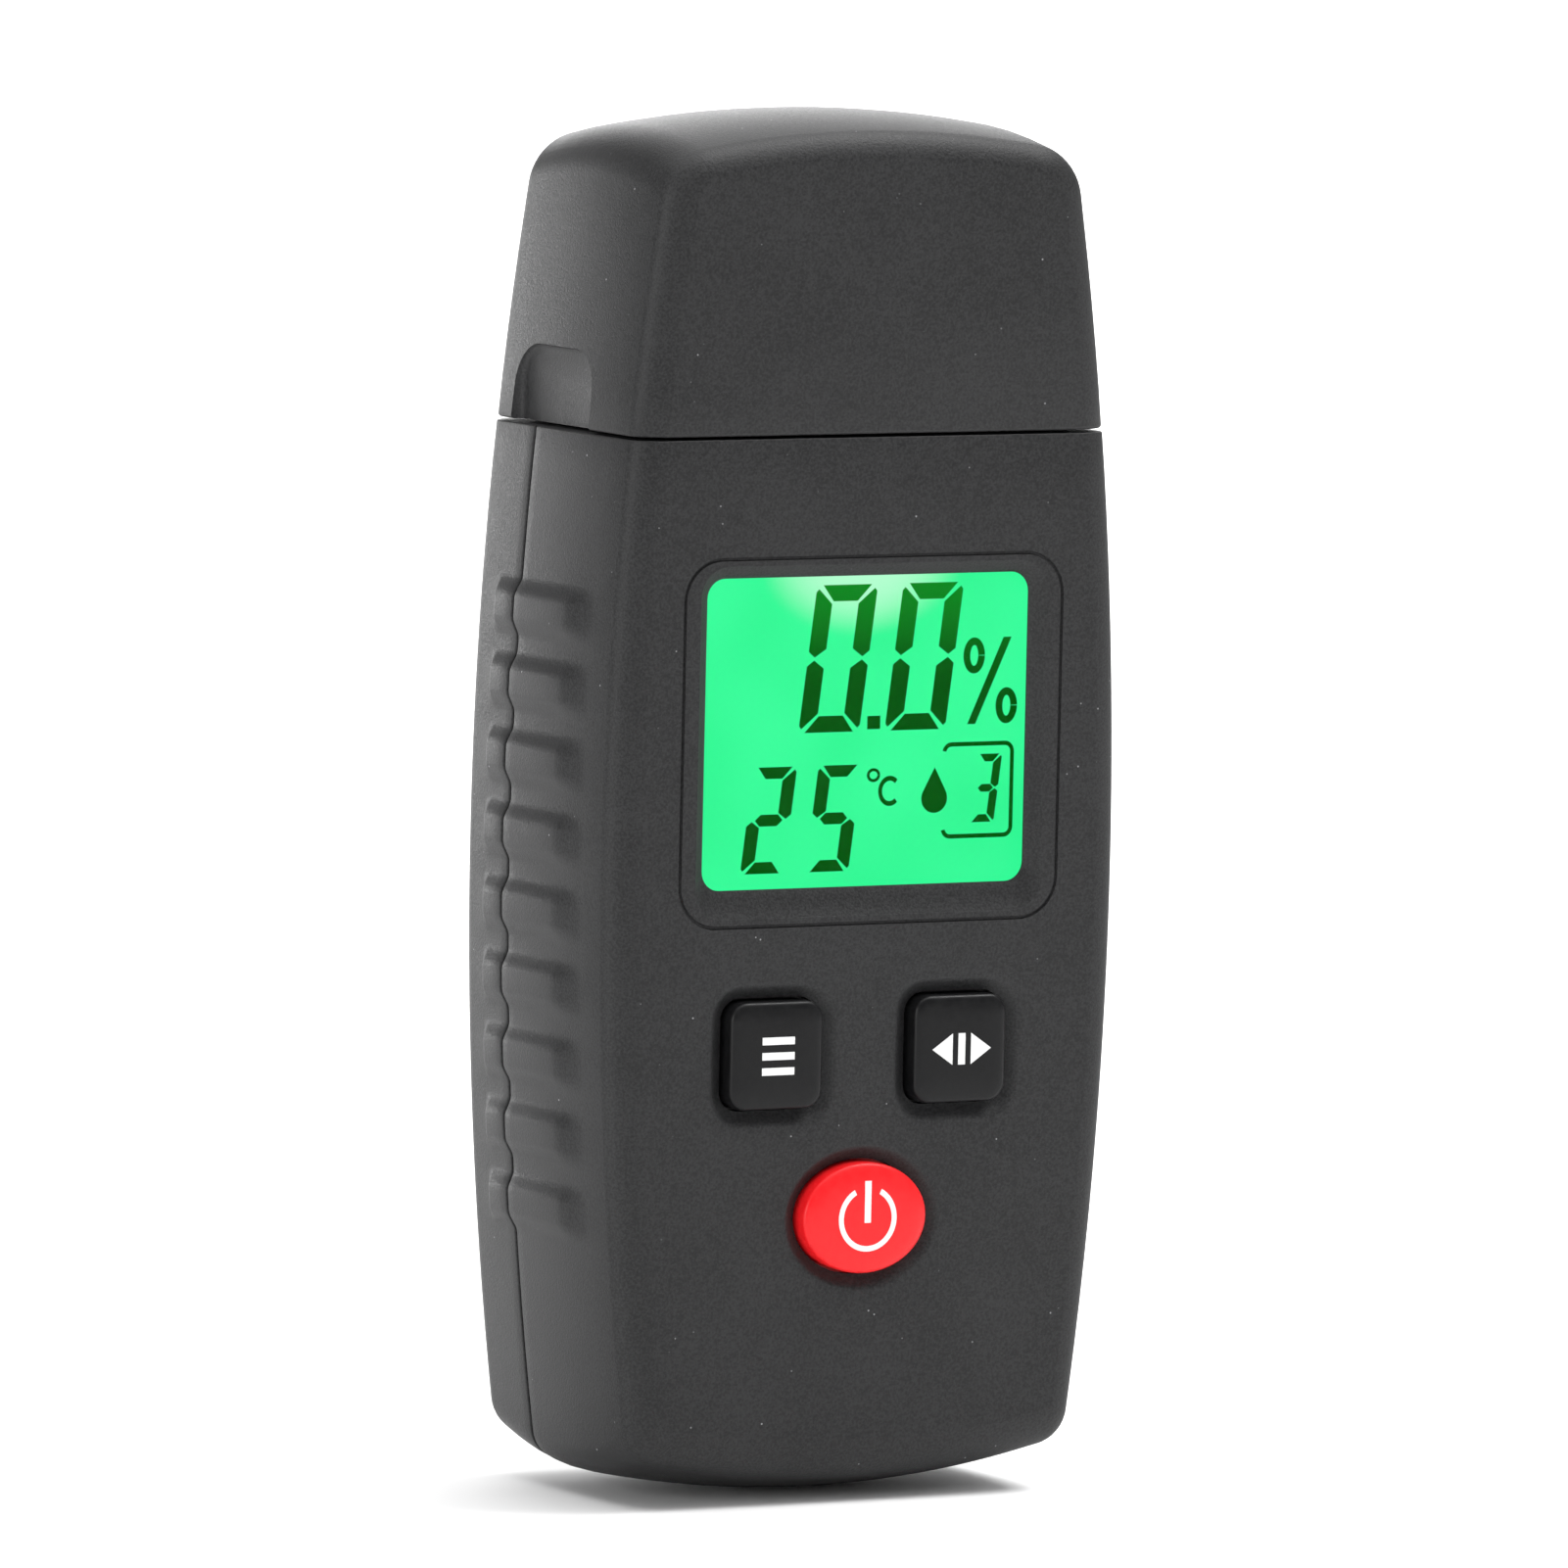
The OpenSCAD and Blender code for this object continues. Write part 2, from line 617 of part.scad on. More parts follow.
module case_screws() color(steel) both_sides() for (p = screw_at) difference() {
    union() {
        rod(p[0], p[1], screw_head_r, screw_head_y, screw_head_y + screw_head_t);
        rod(p[0], p[1], screw_r, screw_tip_y, screw_head_y + 0.1);
    }
    for (a = [0, 90]) translate([p[0], 0, p[1]]) rotate([0, a, 0])
        block(-1.4, 1.4, screw_head_y + screw_head_t - 0.8, back_y, -0.35, 0.35);
}

module board_screws() color(steel) both_sides() for (z = post_zs) {
    rod(post_x, z, 1.9, board_back_y + 0.05, board_back_y + 1.05);
    rod(post_x, z, 0.8, board_y - 2.5, board_back_y + 0.1);
}

front_shell();
back_shell();
cap();
battery_door();
battery();
battery_terminals();
battery_snap();
battery_lead_red();
battery_lead_black();
circuit_board();
microcontroller();
small_components();
buzzer();
thermistor();
lcd_panel();
lcd_holder();
backlight_diffuser();
backlight_led();
zebra_strip();
window_lens();
mode_button();
set_button();
power_button();
mode_plunger();
set_plunger();
power_plunger();
mode_switch();
set_switch();
power_switch();
pin_head();
pin_socket_left();
pin_socket_right();
electrode_pin_left();
electrode_pin_right();
pin_nut_left();
pin_nut_right();
pin_lead_left();
pin_lead_right();
case_screws();
board_screws();
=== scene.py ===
"""Pin-type moisture meter: smooth moulded shells, buttons, lit display and finishes round the CAD frame."""
import math

import bpy
from mathutils import Matrix, Vector


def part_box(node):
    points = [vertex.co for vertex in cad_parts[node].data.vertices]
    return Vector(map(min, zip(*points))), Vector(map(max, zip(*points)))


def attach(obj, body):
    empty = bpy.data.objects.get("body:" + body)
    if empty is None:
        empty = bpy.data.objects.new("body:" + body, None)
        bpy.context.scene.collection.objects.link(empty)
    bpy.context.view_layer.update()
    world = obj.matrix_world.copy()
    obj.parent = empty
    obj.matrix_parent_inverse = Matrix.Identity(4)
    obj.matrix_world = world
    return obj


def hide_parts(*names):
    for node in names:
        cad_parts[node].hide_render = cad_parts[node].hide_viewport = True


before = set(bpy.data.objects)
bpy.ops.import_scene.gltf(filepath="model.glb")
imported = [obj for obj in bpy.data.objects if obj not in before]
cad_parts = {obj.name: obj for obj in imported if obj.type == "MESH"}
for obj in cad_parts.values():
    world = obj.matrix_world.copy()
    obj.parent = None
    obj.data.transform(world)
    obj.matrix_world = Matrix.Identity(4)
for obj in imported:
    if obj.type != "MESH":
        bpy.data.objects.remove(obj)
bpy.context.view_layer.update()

MM = 0.001


def in_mm(node):
    """A CAD node's lowest and highest corners, in millimetres."""
    low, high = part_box(node)
    return [v / MM for v in low], [v / MM for v in high]


# ---------- sizes, in millimetres ----------

front_low, front_high = in_mm("front_shell")
back_low, back_high = in_mm("back_shell")
cap_low, _ = in_mm("cap")
door_low, door_high = in_mm("battery_door")
lens_low, lens_high = in_mm("window_lens")
glass_low, _ = in_mm("lcd_panel")

HEIGHT = 132.0
FRONT_Y = front_low[1]
BACK_Y = back_high[1]
DEPTH = BACK_Y - FRONT_Y
RIM_Z = front_high[2]
CAP_Z = cap_low[2]
FRONT_PART_Y = front_high[1]
PARTING_GAP = 0.3
BACK_PART_Y = FRONT_PART_Y + PARTING_GAP

HALF_W = 27.7
WIDEST_Z = 61.2
SIDE_R = 411.0
TOP_R = 110.0
FOOT_R = 100.0
TOP_CORNER_R = 5.5
FOOT_CORNER_R = 3.4
EDGE_R = 2.8
CROWN = 2.0
FOOT_CROWN = 3.0
TOP_EDGE_RELIEF = 0.35
SIDE_WALL = 1.8
FACE_WALL = 2.0
CAP_WALL = 2.0
INNER_EDGE_R = 1.2
SHELF = 2.0

RIB_COUNT = 9
RIB_PITCH = 7.1
RIB_Z0 = 27.7
RIB_H = 0.75
RIB_FLAT = 0.9
RIB_FOOT = 3.0
RIB_FRONT_Y = FRONT_Y + 6.0
RIB_FULL_Y = FRONT_Y + 11.0
RIB_BACK_FULL_Y = FRONT_Y + 24.2
RIB_BACK_Y = FRONT_Y + 25.6

WINDOW_W = 35.0
WINDOW_H = 29.6
WINDOW_Z = (lens_low[2] + lens_high[2]) / 2


# ---------- outlines ----------

def arc(cx, cz, radius, start, end, steps, closed=True):
    """Points along an arc in the X-Z plane, angles in radians, with its last point only when closed."""
    count = steps + 1 if closed else steps
    angles = [start + (end - start) * i / steps for i in range(count)]
    return [(cx + radius * math.cos(a), cz + radius * math.sin(a)) for a in angles]


def meeting(c0, r0, c1, r1, side):
    """Where two circles cross; side picks which of the two crossings."""
    dx, dz = c1[0] - c0[0], c1[1] - c0[1]
    d = math.hypot(dx, dz)
    along = (r0 * r0 - r1 * r1 + d * d) / (2 * d)
    across = side * math.sqrt(r0 * r0 - along * along)
    ux, uz = dx / d, dz / d
    return c0[0] + along * ux - across * uz, c0[1] + along * uz + across * ux


def heading(start, end):
    return math.atan2(end[1] - start[1], end[0] - start[0])


def handset_outline(inset, top, foot, rows):
    """The whole outline, from the middle of the foot up the right side and down the left."""
    side_c = (HALF_W - SIDE_R, WIDEST_Z)
    top_c = (0.0, top - TOP_R)
    foot_c = (0.0, foot + FOOT_R)
    top_f = meeting(side_c, SIDE_R - TOP_CORNER_R, top_c, TOP_R - TOP_CORNER_R, 1)
    foot_f = meeting(side_c, SIDE_R - FOOT_CORNER_R, foot_c, FOOT_R - FOOT_CORNER_R, -1)
    foot_a = heading(foot_c, foot_f)
    side_a0 = heading(side_c, foot_f)
    side_a1 = heading(side_c, top_f)
    top_a = heading(top_c, top_f)
    angles = [side_a0] + [math.asin((z - WIDEST_Z) / SIDE_R) for z in rows]
    right = arc(*foot_c, FOOT_R - inset, -math.pi / 2, foot_a, 14, False)
    right += arc(*foot_f, max(0.05, FOOT_CORNER_R - inset), foot_a, side_a0, 8, False)
    right += [(side_c[0] + (SIDE_R - inset) * math.cos(a), side_c[1] + (SIDE_R - inset) * math.sin(a))
              for a in angles]
    right += arc(*top_f, TOP_CORNER_R - inset, side_a1, top_a, 10, False)
    right += arc(*top_c, TOP_R - inset, top_a, math.pi / 2, 16)
    return right + [(-x, z) for x, z in reversed(right[1:-1])]


def rounded(width, height, radius, steps=8):
    """A rectangle with round corners about the origin, anticlockwise."""
    x, z = width / 2 - radius, height / 2 - radius
    quarter = math.pi / 2
    points = []
    for i, (sx, sz) in enumerate([(1, 1), (-1, 1), (-1, -1), (1, -1)]):
        points += arc(sx * x, sz * z, radius, i * quarter, (i + 1) * quarter, steps)
    return points


def oval(width, height, steps=72):
    return [(width / 2 * math.cos(a), height / 2 * math.sin(a))
            for a in (2 * math.pi * i / steps for i in range(steps))]


def smooth(low, high, value):
    """0 below low, 1 above high, and a soft step between."""
    t = min(1.0, max(0.0, (value - low) / (high - low)))
    return t * t * (3 - 2 * t)


# ---------- modelling by hand ----------

def only(*pieces):
    """Selects these pieces and nothing else, the last one active."""
    bpy.ops.object.select_all(action="DESELECT")
    for piece in pieces:
        piece.select_set(True)
        bpy.context.view_layer.objects.active = piece


def editing(piece):
    only(piece)
    bpy.ops.object.mode_set(mode="EDIT")


def done():
    bpy.ops.object.mode_set(mode="OBJECT")


def loft(name, rings, looped=False):
    """A grid bent so that each row lies on a ring of points, in mm, closed at both ends or into a loop."""
    rows = len(rings) if looped else len(rings) - 1
    columns = len(rings[0])
    bpy.ops.object.select_all(action="DESELECT")
    bpy.ops.mesh.primitive_grid_add(x_subdivisions=columns, y_subdivisions=rows, size=2)
    piece = bpy.context.object
    piece.name = name
    for vertex in piece.data.vertices:
        column = round((vertex.co.x + 1) / 2 * columns) % columns
        row = round((vertex.co.y + 1) / 2 * rows) % len(rings)
        vertex.co = Vector(rings[row][column]) * MM
    editing(piece)
    bpy.ops.mesh.select_all(action="SELECT")
    bpy.ops.mesh.remove_doubles(threshold=1e-7)
    if not looped:
        bpy.ops.mesh.fill_holes(sides=0)
    bpy.ops.mesh.select_all(action="SELECT")
    bpy.ops.mesh.normals_make_consistent(inside=False)
    done()
    return piece


def across(points, y, x0=0.0, z0=0.0):
    """Lays an outline in a plane of constant depth."""
    return [(x0 + x, y, z0 + z) for x, z in points]


def plate(name, points, y0, y1, x0=0.0, z0=0.0):
    """A flat piece with a drawn outline, from one depth to another."""
    return loft(name, [across(points, y0, x0, z0), across(points, y1, x0, z0)])


def block(name, x, y, z):
    """A box between two limits on each axis."""
    bpy.ops.object.select_all(action="DESELECT")
    bpy.ops.mesh.primitive_cube_add(size=1)
    piece = bpy.context.object
    piece.name = name
    for vertex in piece.data.vertices:
        vertex.co = Vector([(lim[0] + lim[1]) / 2 * MM + c * (lim[1] - lim[0]) * MM
                            for lim, c in zip((x, y, z), vertex.co)])
    return piece


def rod(name, x, z, radius, y0, y1, steps=48):
    return plate(name, oval(2 * radius, 2 * radius, steps), y0, y1, x, z)


def joined(name, pieces):
    """One piece from several separate solids."""
    only(*pieces)
    if len(pieces) > 1:
        bpy.ops.object.join()
    piece = bpy.context.object
    piece.name = name
    return piece


def carve(piece, tool, operation="DIFFERENCE"):
    """Cuts a tool out of a piece, or adds it, and throws the tool away."""
    modifier = piece.modifiers.new("carve", "BOOLEAN")
    modifier.operation = operation
    modifier.solver = "EXACT"
    modifier.object = tool
    only(piece)
    bpy.ops.object.modifier_apply(modifier=modifier.name)
    bpy.data.objects.remove(tool)
    return piece


def slice_off(piece, point, normal):
    """Cuts along a plane, throws away the side that the normal points to, and closes the cut."""
    editing(piece)
    bpy.ops.mesh.select_all(action="SELECT")
    bpy.ops.mesh.bisect(plane_co=Vector(point) * MM, plane_no=normal, use_fill=True, clear_outer=True)
    done()


def round_edges(piece, chosen, width, segments=3):
    """Rounds the edges whose two ends are both chosen, by their place in mm."""
    editing(piece)
    bpy.ops.mesh.select_all(action="DESELECT")
    done()
    mesh = piece.data
    ends = [chosen(v.co / MM) for v in mesh.vertices]
    for edge in mesh.edges:
        edge.select = ends[edge.vertices[0]] and ends[edge.vertices[1]]
    editing(piece)
    bpy.ops.mesh.select_mode(type="EDGE")
    bpy.ops.mesh.bevel(offset=width * MM, segments=segments, affect="EDGES", clamp_overlap=True)
    bpy.ops.mesh.select_mode(type="VERT")
    done()


def tidy(piece, angle=32):
    """Smooth shading except across sharp edges."""
    only(piece)
    bpy.ops.object.shade_smooth_by_angle(angle=math.radians(angle))
    return piece


def fit(piece, body, finish, slot, *nodes):
    """Rides a piece on a body in its finish, in place of the CAD nodes it stands for."""
    piece.data.materials.clear()
    piece.data.materials.append(finish)
    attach(piece, body)
    if nodes:
        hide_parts(*nodes)


# ---------- finishes ----------

class Signal:
    """A number on its way through a material; arithmetic on it adds Math nodes."""

    def __init__(self, finish, socket):
        self.finish = finish
        self.socket = socket

    def maths(self, operation, first, second):
        return self.finish.node("ShaderNodeMath", {"operation": operation}, {0: first, 1: second})

    def __add__(self, other):
        return self.maths("ADD", self, other)

    __radd__ = __add__

    def __sub__(self, other):
        return self.maths("SUBTRACT", self, other)

    def __rsub__(self, other):
        return self.maths("SUBTRACT", other, self)

    def __mul__(self, other):
        return self.maths("MULTIPLY", self, other)

    __rmul__ = __mul__

    def __gt__(self, other):
        return self.maths("GREATER_THAN", self, other)


class Finish:
    """A material put together node by node."""

    def __init__(self, name):
        self.material = bpy.data.materials.new(name)
        self.material.use_nodes = True
        self.tree = self.material.node_tree
        self.tree.nodes.clear()

    def node(self, kind, settings=None, sockets=None, output=0):
        """Adds a node: its settings, then the values or links of its sockets. Gives one output."""
        made = self.tree.nodes.new(kind)
        for key, value in (settings or {}).items():
            if key == "stops":
                stops = made.color_ramp.elements
                while len(stops) < len(value):
                    stops.new(0.5)
                for stop, (place, colour) in zip(stops, value):
                    stop.position = place
                    stop.color = (*colour, 1.0)
            else:
                setattr(made, key, value)
        for key, value in (sockets or {}).items():
            if isinstance(value, Signal):
                self.tree.links.new(value.socket, made.inputs[key])
            else:
                made.inputs[key].default_value = value
        return Signal(self, made.outputs[output]) if made.outputs else None

    def place(self):
        """Where a point is on the object, in metres."""
        return self.node("ShaderNodeTexCoord", output="Object")

    def noise(self, size, detail=2.0, roughness=0.5, place=None):
        """Cloudy noise whose lumps are about size mm across."""
        where = place or self.place()
        return self.node("ShaderNodeTexNoise", {"noise_dimensions": "3D"},
                         {"Vector": where, "Scale": 1 / (size * MM), "Detail": detail,
                          "Roughness": roughness})

    def grains(self, size):
        """Distance from the nearest of many scattered points, for pits and specks."""
        return self.node("ShaderNodeTexVoronoi", {"feature": "F1"},
                         {"Vector": self.place(), "Scale": 1 / (size * MM), "Randomness": 1.0})

    def step(self, value, low, high, out_low=0.0, out_high=1.0):
        """Maps a stretch of a number onto another, held at its ends."""
        return self.node("ShaderNodeMapRange", {"clamp": True, "interpolation_type": "SMOOTHSTEP"},
                         {0: value, 1: low, 2: high, 3: out_low, 4: out_high})

    def blend(self, share, first, second):
        """One colour turning into another."""
        sockets = {0: share, 6: first if isinstance(first, Signal) else (*first, 1.0),
                   7: second if isinstance(second, Signal) else (*second, 1.0)}
        return self.node("ShaderNodeMix", {"data_type": "RGBA"}, sockets, output=2)

    def bump(self, height, depth, strength=1.0):
        """Surface relief, its full height depth mm."""
        return self.node("ShaderNodeBump", None,
                         {"Strength": strength, "Distance": depth * MM, "Height": height})

    def surface(self, **sockets):
        """The closing shader; a name such as base_color sets the socket Base Color."""
        named = {}
        for key, value in sockets.items():
            label = " ".join(word.capitalize() if word not in ("ior",) else "IOR" for word in key.split("_"))
            if isinstance(value, tuple) and len(value) == 3:
                value = (*value, 1.0)
            named[label] = value
        shader = self.node("ShaderNodeBsdfPrincipled", None, named)
        self.node("ShaderNodeOutputMaterial", None, {"Surface": shader})
        return self.material


def moulded_plastic(name, colour, light, roughness, grain=0.28, relief=0.035, specks=0.0, shine=0.45,
                    belly=0.0):
    """Spark-textured plastic: fine matt grain, faint mottling and a few pale specks of dust.

    The sides swell by belly mm from their edges to the middle of the depth."""
    f = Finish(name)
    grainy = f.noise(grain, 3.0, 0.6)
    cloudy = f.noise(9.0, 3.0, 0.55)
    base = f.blend(f.step(grainy * 0.85 + cloudy * 0.15, 0.34, 0.66), colour, light)
    if specks:
        dust = 1 - f.step(f.grains(1.6), 0.03, 0.075)
        rare = f.step(f.noise(3.1, 1.0), 0.56, 0.64)
        base = f.blend(dust * rare * specks, base, (0.35, 0.35, 0.36))
    rough = f.step(grainy, 0.3, 0.7, roughness - 0.06, roughness + 0.06)
    deep = f.node("ShaderNodeSeparateXYZ", None, {0: f.place()}, 1) * (2 / (DEPTH * MM))
    height = grainy * relief - deep * deep * belly
    return f.surface(base_color=base, roughness=rough, specular_ior_level=shine, normal=f.bump(height, 1.0))


def smooth_plastic(name, colour, light, roughness, relief=0.006, shine=0.5):
    """Smooth moulded plastic with a barely wavy skin."""
    f = Finish(name)
    wavy = f.noise(0.9, 2.0)
    base = f.blend(f.step(wavy * 0.5 + f.noise(0.12, 1.0) * 0.5, 0.38, 0.64), colour, light)
    rough = f.step(wavy, 0.3, 0.7, roughness - 0.05, roughness + 0.05)
    return f.surface(base_color=base, roughness=rough, specular_ior_level=shine,
                     normal=f.bump(wavy, relief, 0.5))


def metal(name, colour, dark, roughness, grain=0.15):
    """Plated or turned metal with fine scratches and faint tarnish."""
    f = Finish(name)
    scratch = f.noise(grain, 4.0, 0.7)
    tarnish = f.noise(2.2, 3.0)
    base = f.blend(f.step(tarnish, 0.35, 0.75), colour, dark)
    rough = f.step(scratch, 0.3, 0.7, roughness - 0.08, roughness + 0.1)
    return f.surface(base_color=base, metallic=1.0, roughness=rough, normal=f.bump(scratch, 0.01, 0.4))


def circuit_green():
    """Solder mask over copper tracks: darker where there is no copper."""
    f = Finish("solder_mask")
    tracks = f.node("ShaderNodeTexBrick", {"offset": 0.5},
                    {"Vector": f.place(), "Scale": 180.0, "Mortar Size": 0.02, "Color1": (1, 1, 1, 1),
                     "Color2": (0.6, 0.6, 0.6, 1), "Mortar": (0, 0, 0, 1)}, output=1)
    base = f.blend(tracks, (0.012, 0.10, 0.035), (0.03, 0.22, 0.08))
    fleck = f.noise(0.3, 2.0)
    return f.surface(base_color=base, roughness=f.step(fleck, 0.3, 0.7, 0.3, 0.42),
                     normal=f.bump(tracks, 0.02))


def lit_glass():
    """The backlit panel: even green with a hot spot at the top, where the LED sits."""
    f = Finish("lit_display")
    x = f.node("ShaderNodeSeparateXYZ", None, {0: f.place()}, 0)
    z = f.node("ShaderNodeSeparateXYZ", None, {0: f.place()}, 2)
    top = (WINDOW_Z + WINDOW_H / 2 + 1.5) * MM
    dx = x * (1 / (7.5 * MM))
    dz = (z - top) * (1 / (5.0 * MM))
    distance = dx * dx + dz * dz
    spot = 1 - f.step(distance, 0.0, 2.4)
    cloudy = f.step(f.noise(14.0, 1.0), 0.3, 0.7)
    even = f.blend(cloudy, (0.030, 0.92, 0.30), (0.042, 0.98, 0.34))
    glow = f.blend(spot * 0.9, even, (0.52, 1.0, 0.68))
    return f.surface(base_color=(0.001, 0.004, 0.001), roughness=0.5, specular_ior_level=0.02,
                     emission_color=glow,
                     emission_strength=1.0)


def clear_window():
    """Clear plastic with an anti-glare coating and a trace of haze."""
    f = Finish("clear_window")
    haze = f.noise(1.4, 3.0)
    return f.surface(base_color=(0.97, 1.0, 0.98), roughness=f.step(haze, 0.3, 0.7, 0.015, 0.05),
                     ior=1.07, transmission_weight=1.0)


def printed(name, colour, light):
    """Pad-printed ink, a little uneven."""
    f = Finish(name)
    ink = f.noise(0.16, 3.0)
    return f.surface(base_color=f.blend(f.step(ink, 0.3, 0.7), colour, light), roughness=0.5,
                     normal=f.bump(ink, 0.004, 0.5))


def shaded_segments():
    """Darkened crystal: a little of the green behind it still comes through."""
    f = Finish("display_segments")
    uneven = f.noise(0.5, 2.0)
    z = f.node("ShaderNodeSeparateXYZ", None, {0: f.place()}, 2)
    lit = f.step(z, (WINDOW_Z + 4) * MM, (WINDOW_Z + WINDOW_H / 2) * MM, 0.0, 0.75)
    dim = f.blend(f.step(uneven, 0.3, 0.7), (0.0, 0.075, 0.001), (0.001, 0.095, 0.003))
    dim = f.blend(lit, dim, (0.004, 0.30, 0.016))
    return f.surface(base_color=(0.0, 0.002, 0.0), roughness=0.6, specular_ior_level=0.02, emission_color=dim,
                     emission_strength=1.0)


def cell_jacket():
    """A printed metal jacket: dark below, with a copper band round the terminals' end."""
    f = Finish("cell_jacket")
    z = f.node("ShaderNodeSeparateXYZ", None, {0: f.place()}, 2)
    band = f.step(z, 47.9 * MM, 48.1 * MM)
    scuff = f.step(f.noise(0.8, 3.0), 0.35, 0.7)
    dark = f.blend(scuff, (0.012, 0.013, 0.016), (0.020, 0.021, 0.025))
    copper = f.blend(scuff, (0.62, 0.30, 0.14), (0.70, 0.37, 0.19))
    return f.surface(base_color=f.blend(band, dark, copper), metallic=band * 0.9,
                     roughness=f.step(scuff, 0, 1, 0.26, 0.34))


charcoal = moulded_plastic("charcoal_plastic", (0.0095, 0.0095, 0.010), (0.026, 0.026, 0.027), 0.5, 0.24,
                           0.045, specks=0.8, shine=0.3, belly=1.7)
key_black = smooth_plastic("key_black", (0.0045, 0.0045, 0.005), (0.007, 0.007, 0.0075), 0.36, shine=0.2)
power_red = smooth_plastic("power_red", (0.80, 0.008, 0.012), (0.86, 0.013, 0.016), 0.38, shine=0.3)
white_ink = printed("white_ink", (0.80, 0.80, 0.80), (0.92, 0.92, 0.92))
segment_ink = shaded_segments()
head_black = moulded_plastic("head_black", (0.010, 0.010, 0.011), (0.018, 0.018, 0.019), 0.45, 0.2, 0.02)
white_plastic = smooth_plastic("white_plastic", (0.72, 0.72, 0.70), (0.80, 0.80, 0.78), 0.4)
milky = smooth_plastic("milky_light_guide", (0.70, 0.82, 0.72), (0.80, 0.90, 0.80), 0.3)
pink_rubber = smooth_plastic("layered_rubber", (0.55, 0.20, 0.26), (0.66, 0.28, 0.34), 0.6)
ceramic = smooth_plastic("chip_ceramic", (0.22, 0.14, 0.07), (0.32, 0.22, 0.12), 0.35)
epoxy_bead = smooth_plastic("epoxy_bead", (0.04, 0.02, 0.012), (0.06, 0.03, 0.02), 0.25)
red_pvc = smooth_plastic("red_pvc", (0.55, 0.02, 0.02), (0.62, 0.03, 0.03), 0.4)
black_pvc = smooth_plastic("black_pvc", (0.012, 0.012, 0.012), (0.02, 0.02, 0.02), 0.4)
white_pvc = smooth_plastic("white_pvc", (0.78, 0.78, 0.75), (0.85, 0.85, 0.82), 0.4)
plated_steel = metal("plated_steel", (0.66, 0.67, 0.69), (0.56, 0.56, 0.58), 0.26, 0.4)
needle_steel = metal("needle_steel", (0.70, 0.71, 0.73), (0.52, 0.53, 0.55), 0.2, 0.08)
turned_brass = metal("turned_brass", (0.78, 0.56, 0.22), (0.55, 0.38, 0.14), 0.28)

CAD_FINISHES = {
    turned_brass: ["pin_socket_left", "pin_socket_right"],
    needle_steel: ["electrode_pin_left", "electrode_pin_right"],
    plated_steel: ["pin_nut_left", "pin_nut_right", "case_screws", "board_screws", "battery_terminals",
                   "mode_switch", "set_switch", "power_switch"],
    black_pvc: ["battery_lead_black", "battery_snap", "mode_plunger", "set_plunger", "power_plunger"],
    red_pvc: ["battery_lead_red"],
    white_pvc: ["pin_lead_left", "pin_lead_right"],
    circuit_green(): ["circuit_board"],
    key_black: ["microcontroller", "buzzer"],
    ceramic: ["small_components"],
    epoxy_bead: ["thermistor"],
    lit_glass(): ["lcd_panel"],
    white_plastic: ["lcd_holder", "backlight_led"],
    milky: ["backlight_diffuser"],
    pink_rubber: ["zebra_strip"],
    clear_window(): ["window_lens"],
    cell_jacket(): ["battery"],
    head_black: ["pin_head"],
}
for finish, nodes in CAD_FINISHES.items():
    for node in nodes:
        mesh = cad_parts[node].data
        mesh.materials.clear()
        mesh.materials.append(finish)


# ---------- the housing ----------

def slice_top(y, inset):
    """The outline's top is lower towards the front and back, for the crown."""
    return HEIGHT - CROWN * (2 * y / DEPTH) ** 2 + TOP_EDGE_RELIEF * inset


def slice_foot(y):
    return FOOT_CROWN * (2 * y / DEPTH) ** 2


def rib_relief(y, z):
    """How far the grip stands out of the side at a place, in mm."""
    nearest = round((z - RIB_Z0) / RIB_PITCH)
    nearest = min(RIB_COUNT - 1, max(0, nearest))
    away = abs(z - RIB_Z0 - nearest * RIB_PITCH)
    along = smooth(RIB_FRONT_Y, RIB_FULL_Y, y) * (1 - smooth(RIB_BACK_FULL_Y, RIB_BACK_Y, y))
    return RIB_H * (1 - smooth(RIB_FLAT, RIB_FOOT, away)) * along


# A tiny fillet that leads from the flat face into its creased edge: (depth, further in)
CREASE_FILLET = [(0.0, 0.2), (0.002, 0.13), (0.009, 0.07)]


def edge_stations(half, edge_r, crease, squash, steps):
    """(depth, inset) pairs across a rounded edge that leaves the flat face at the crease angle."""
    reach = edge_r / (1 - math.sin(crease))
    lead = 0.02 if crease else 0.0
    turns = [crease + (math.pi / 2 - crease) * i / steps for i in range(steps + 1)]
    stations = [(-half + lead + squash * reach * (math.cos(crease) - math.cos(a)), reach * (1 - math.sin(a)))
                for a in turns]
    if crease:
        stations = [(-half + depth, edge_r + extra) for depth, extra in CREASE_FILLET] + stations
    return stations


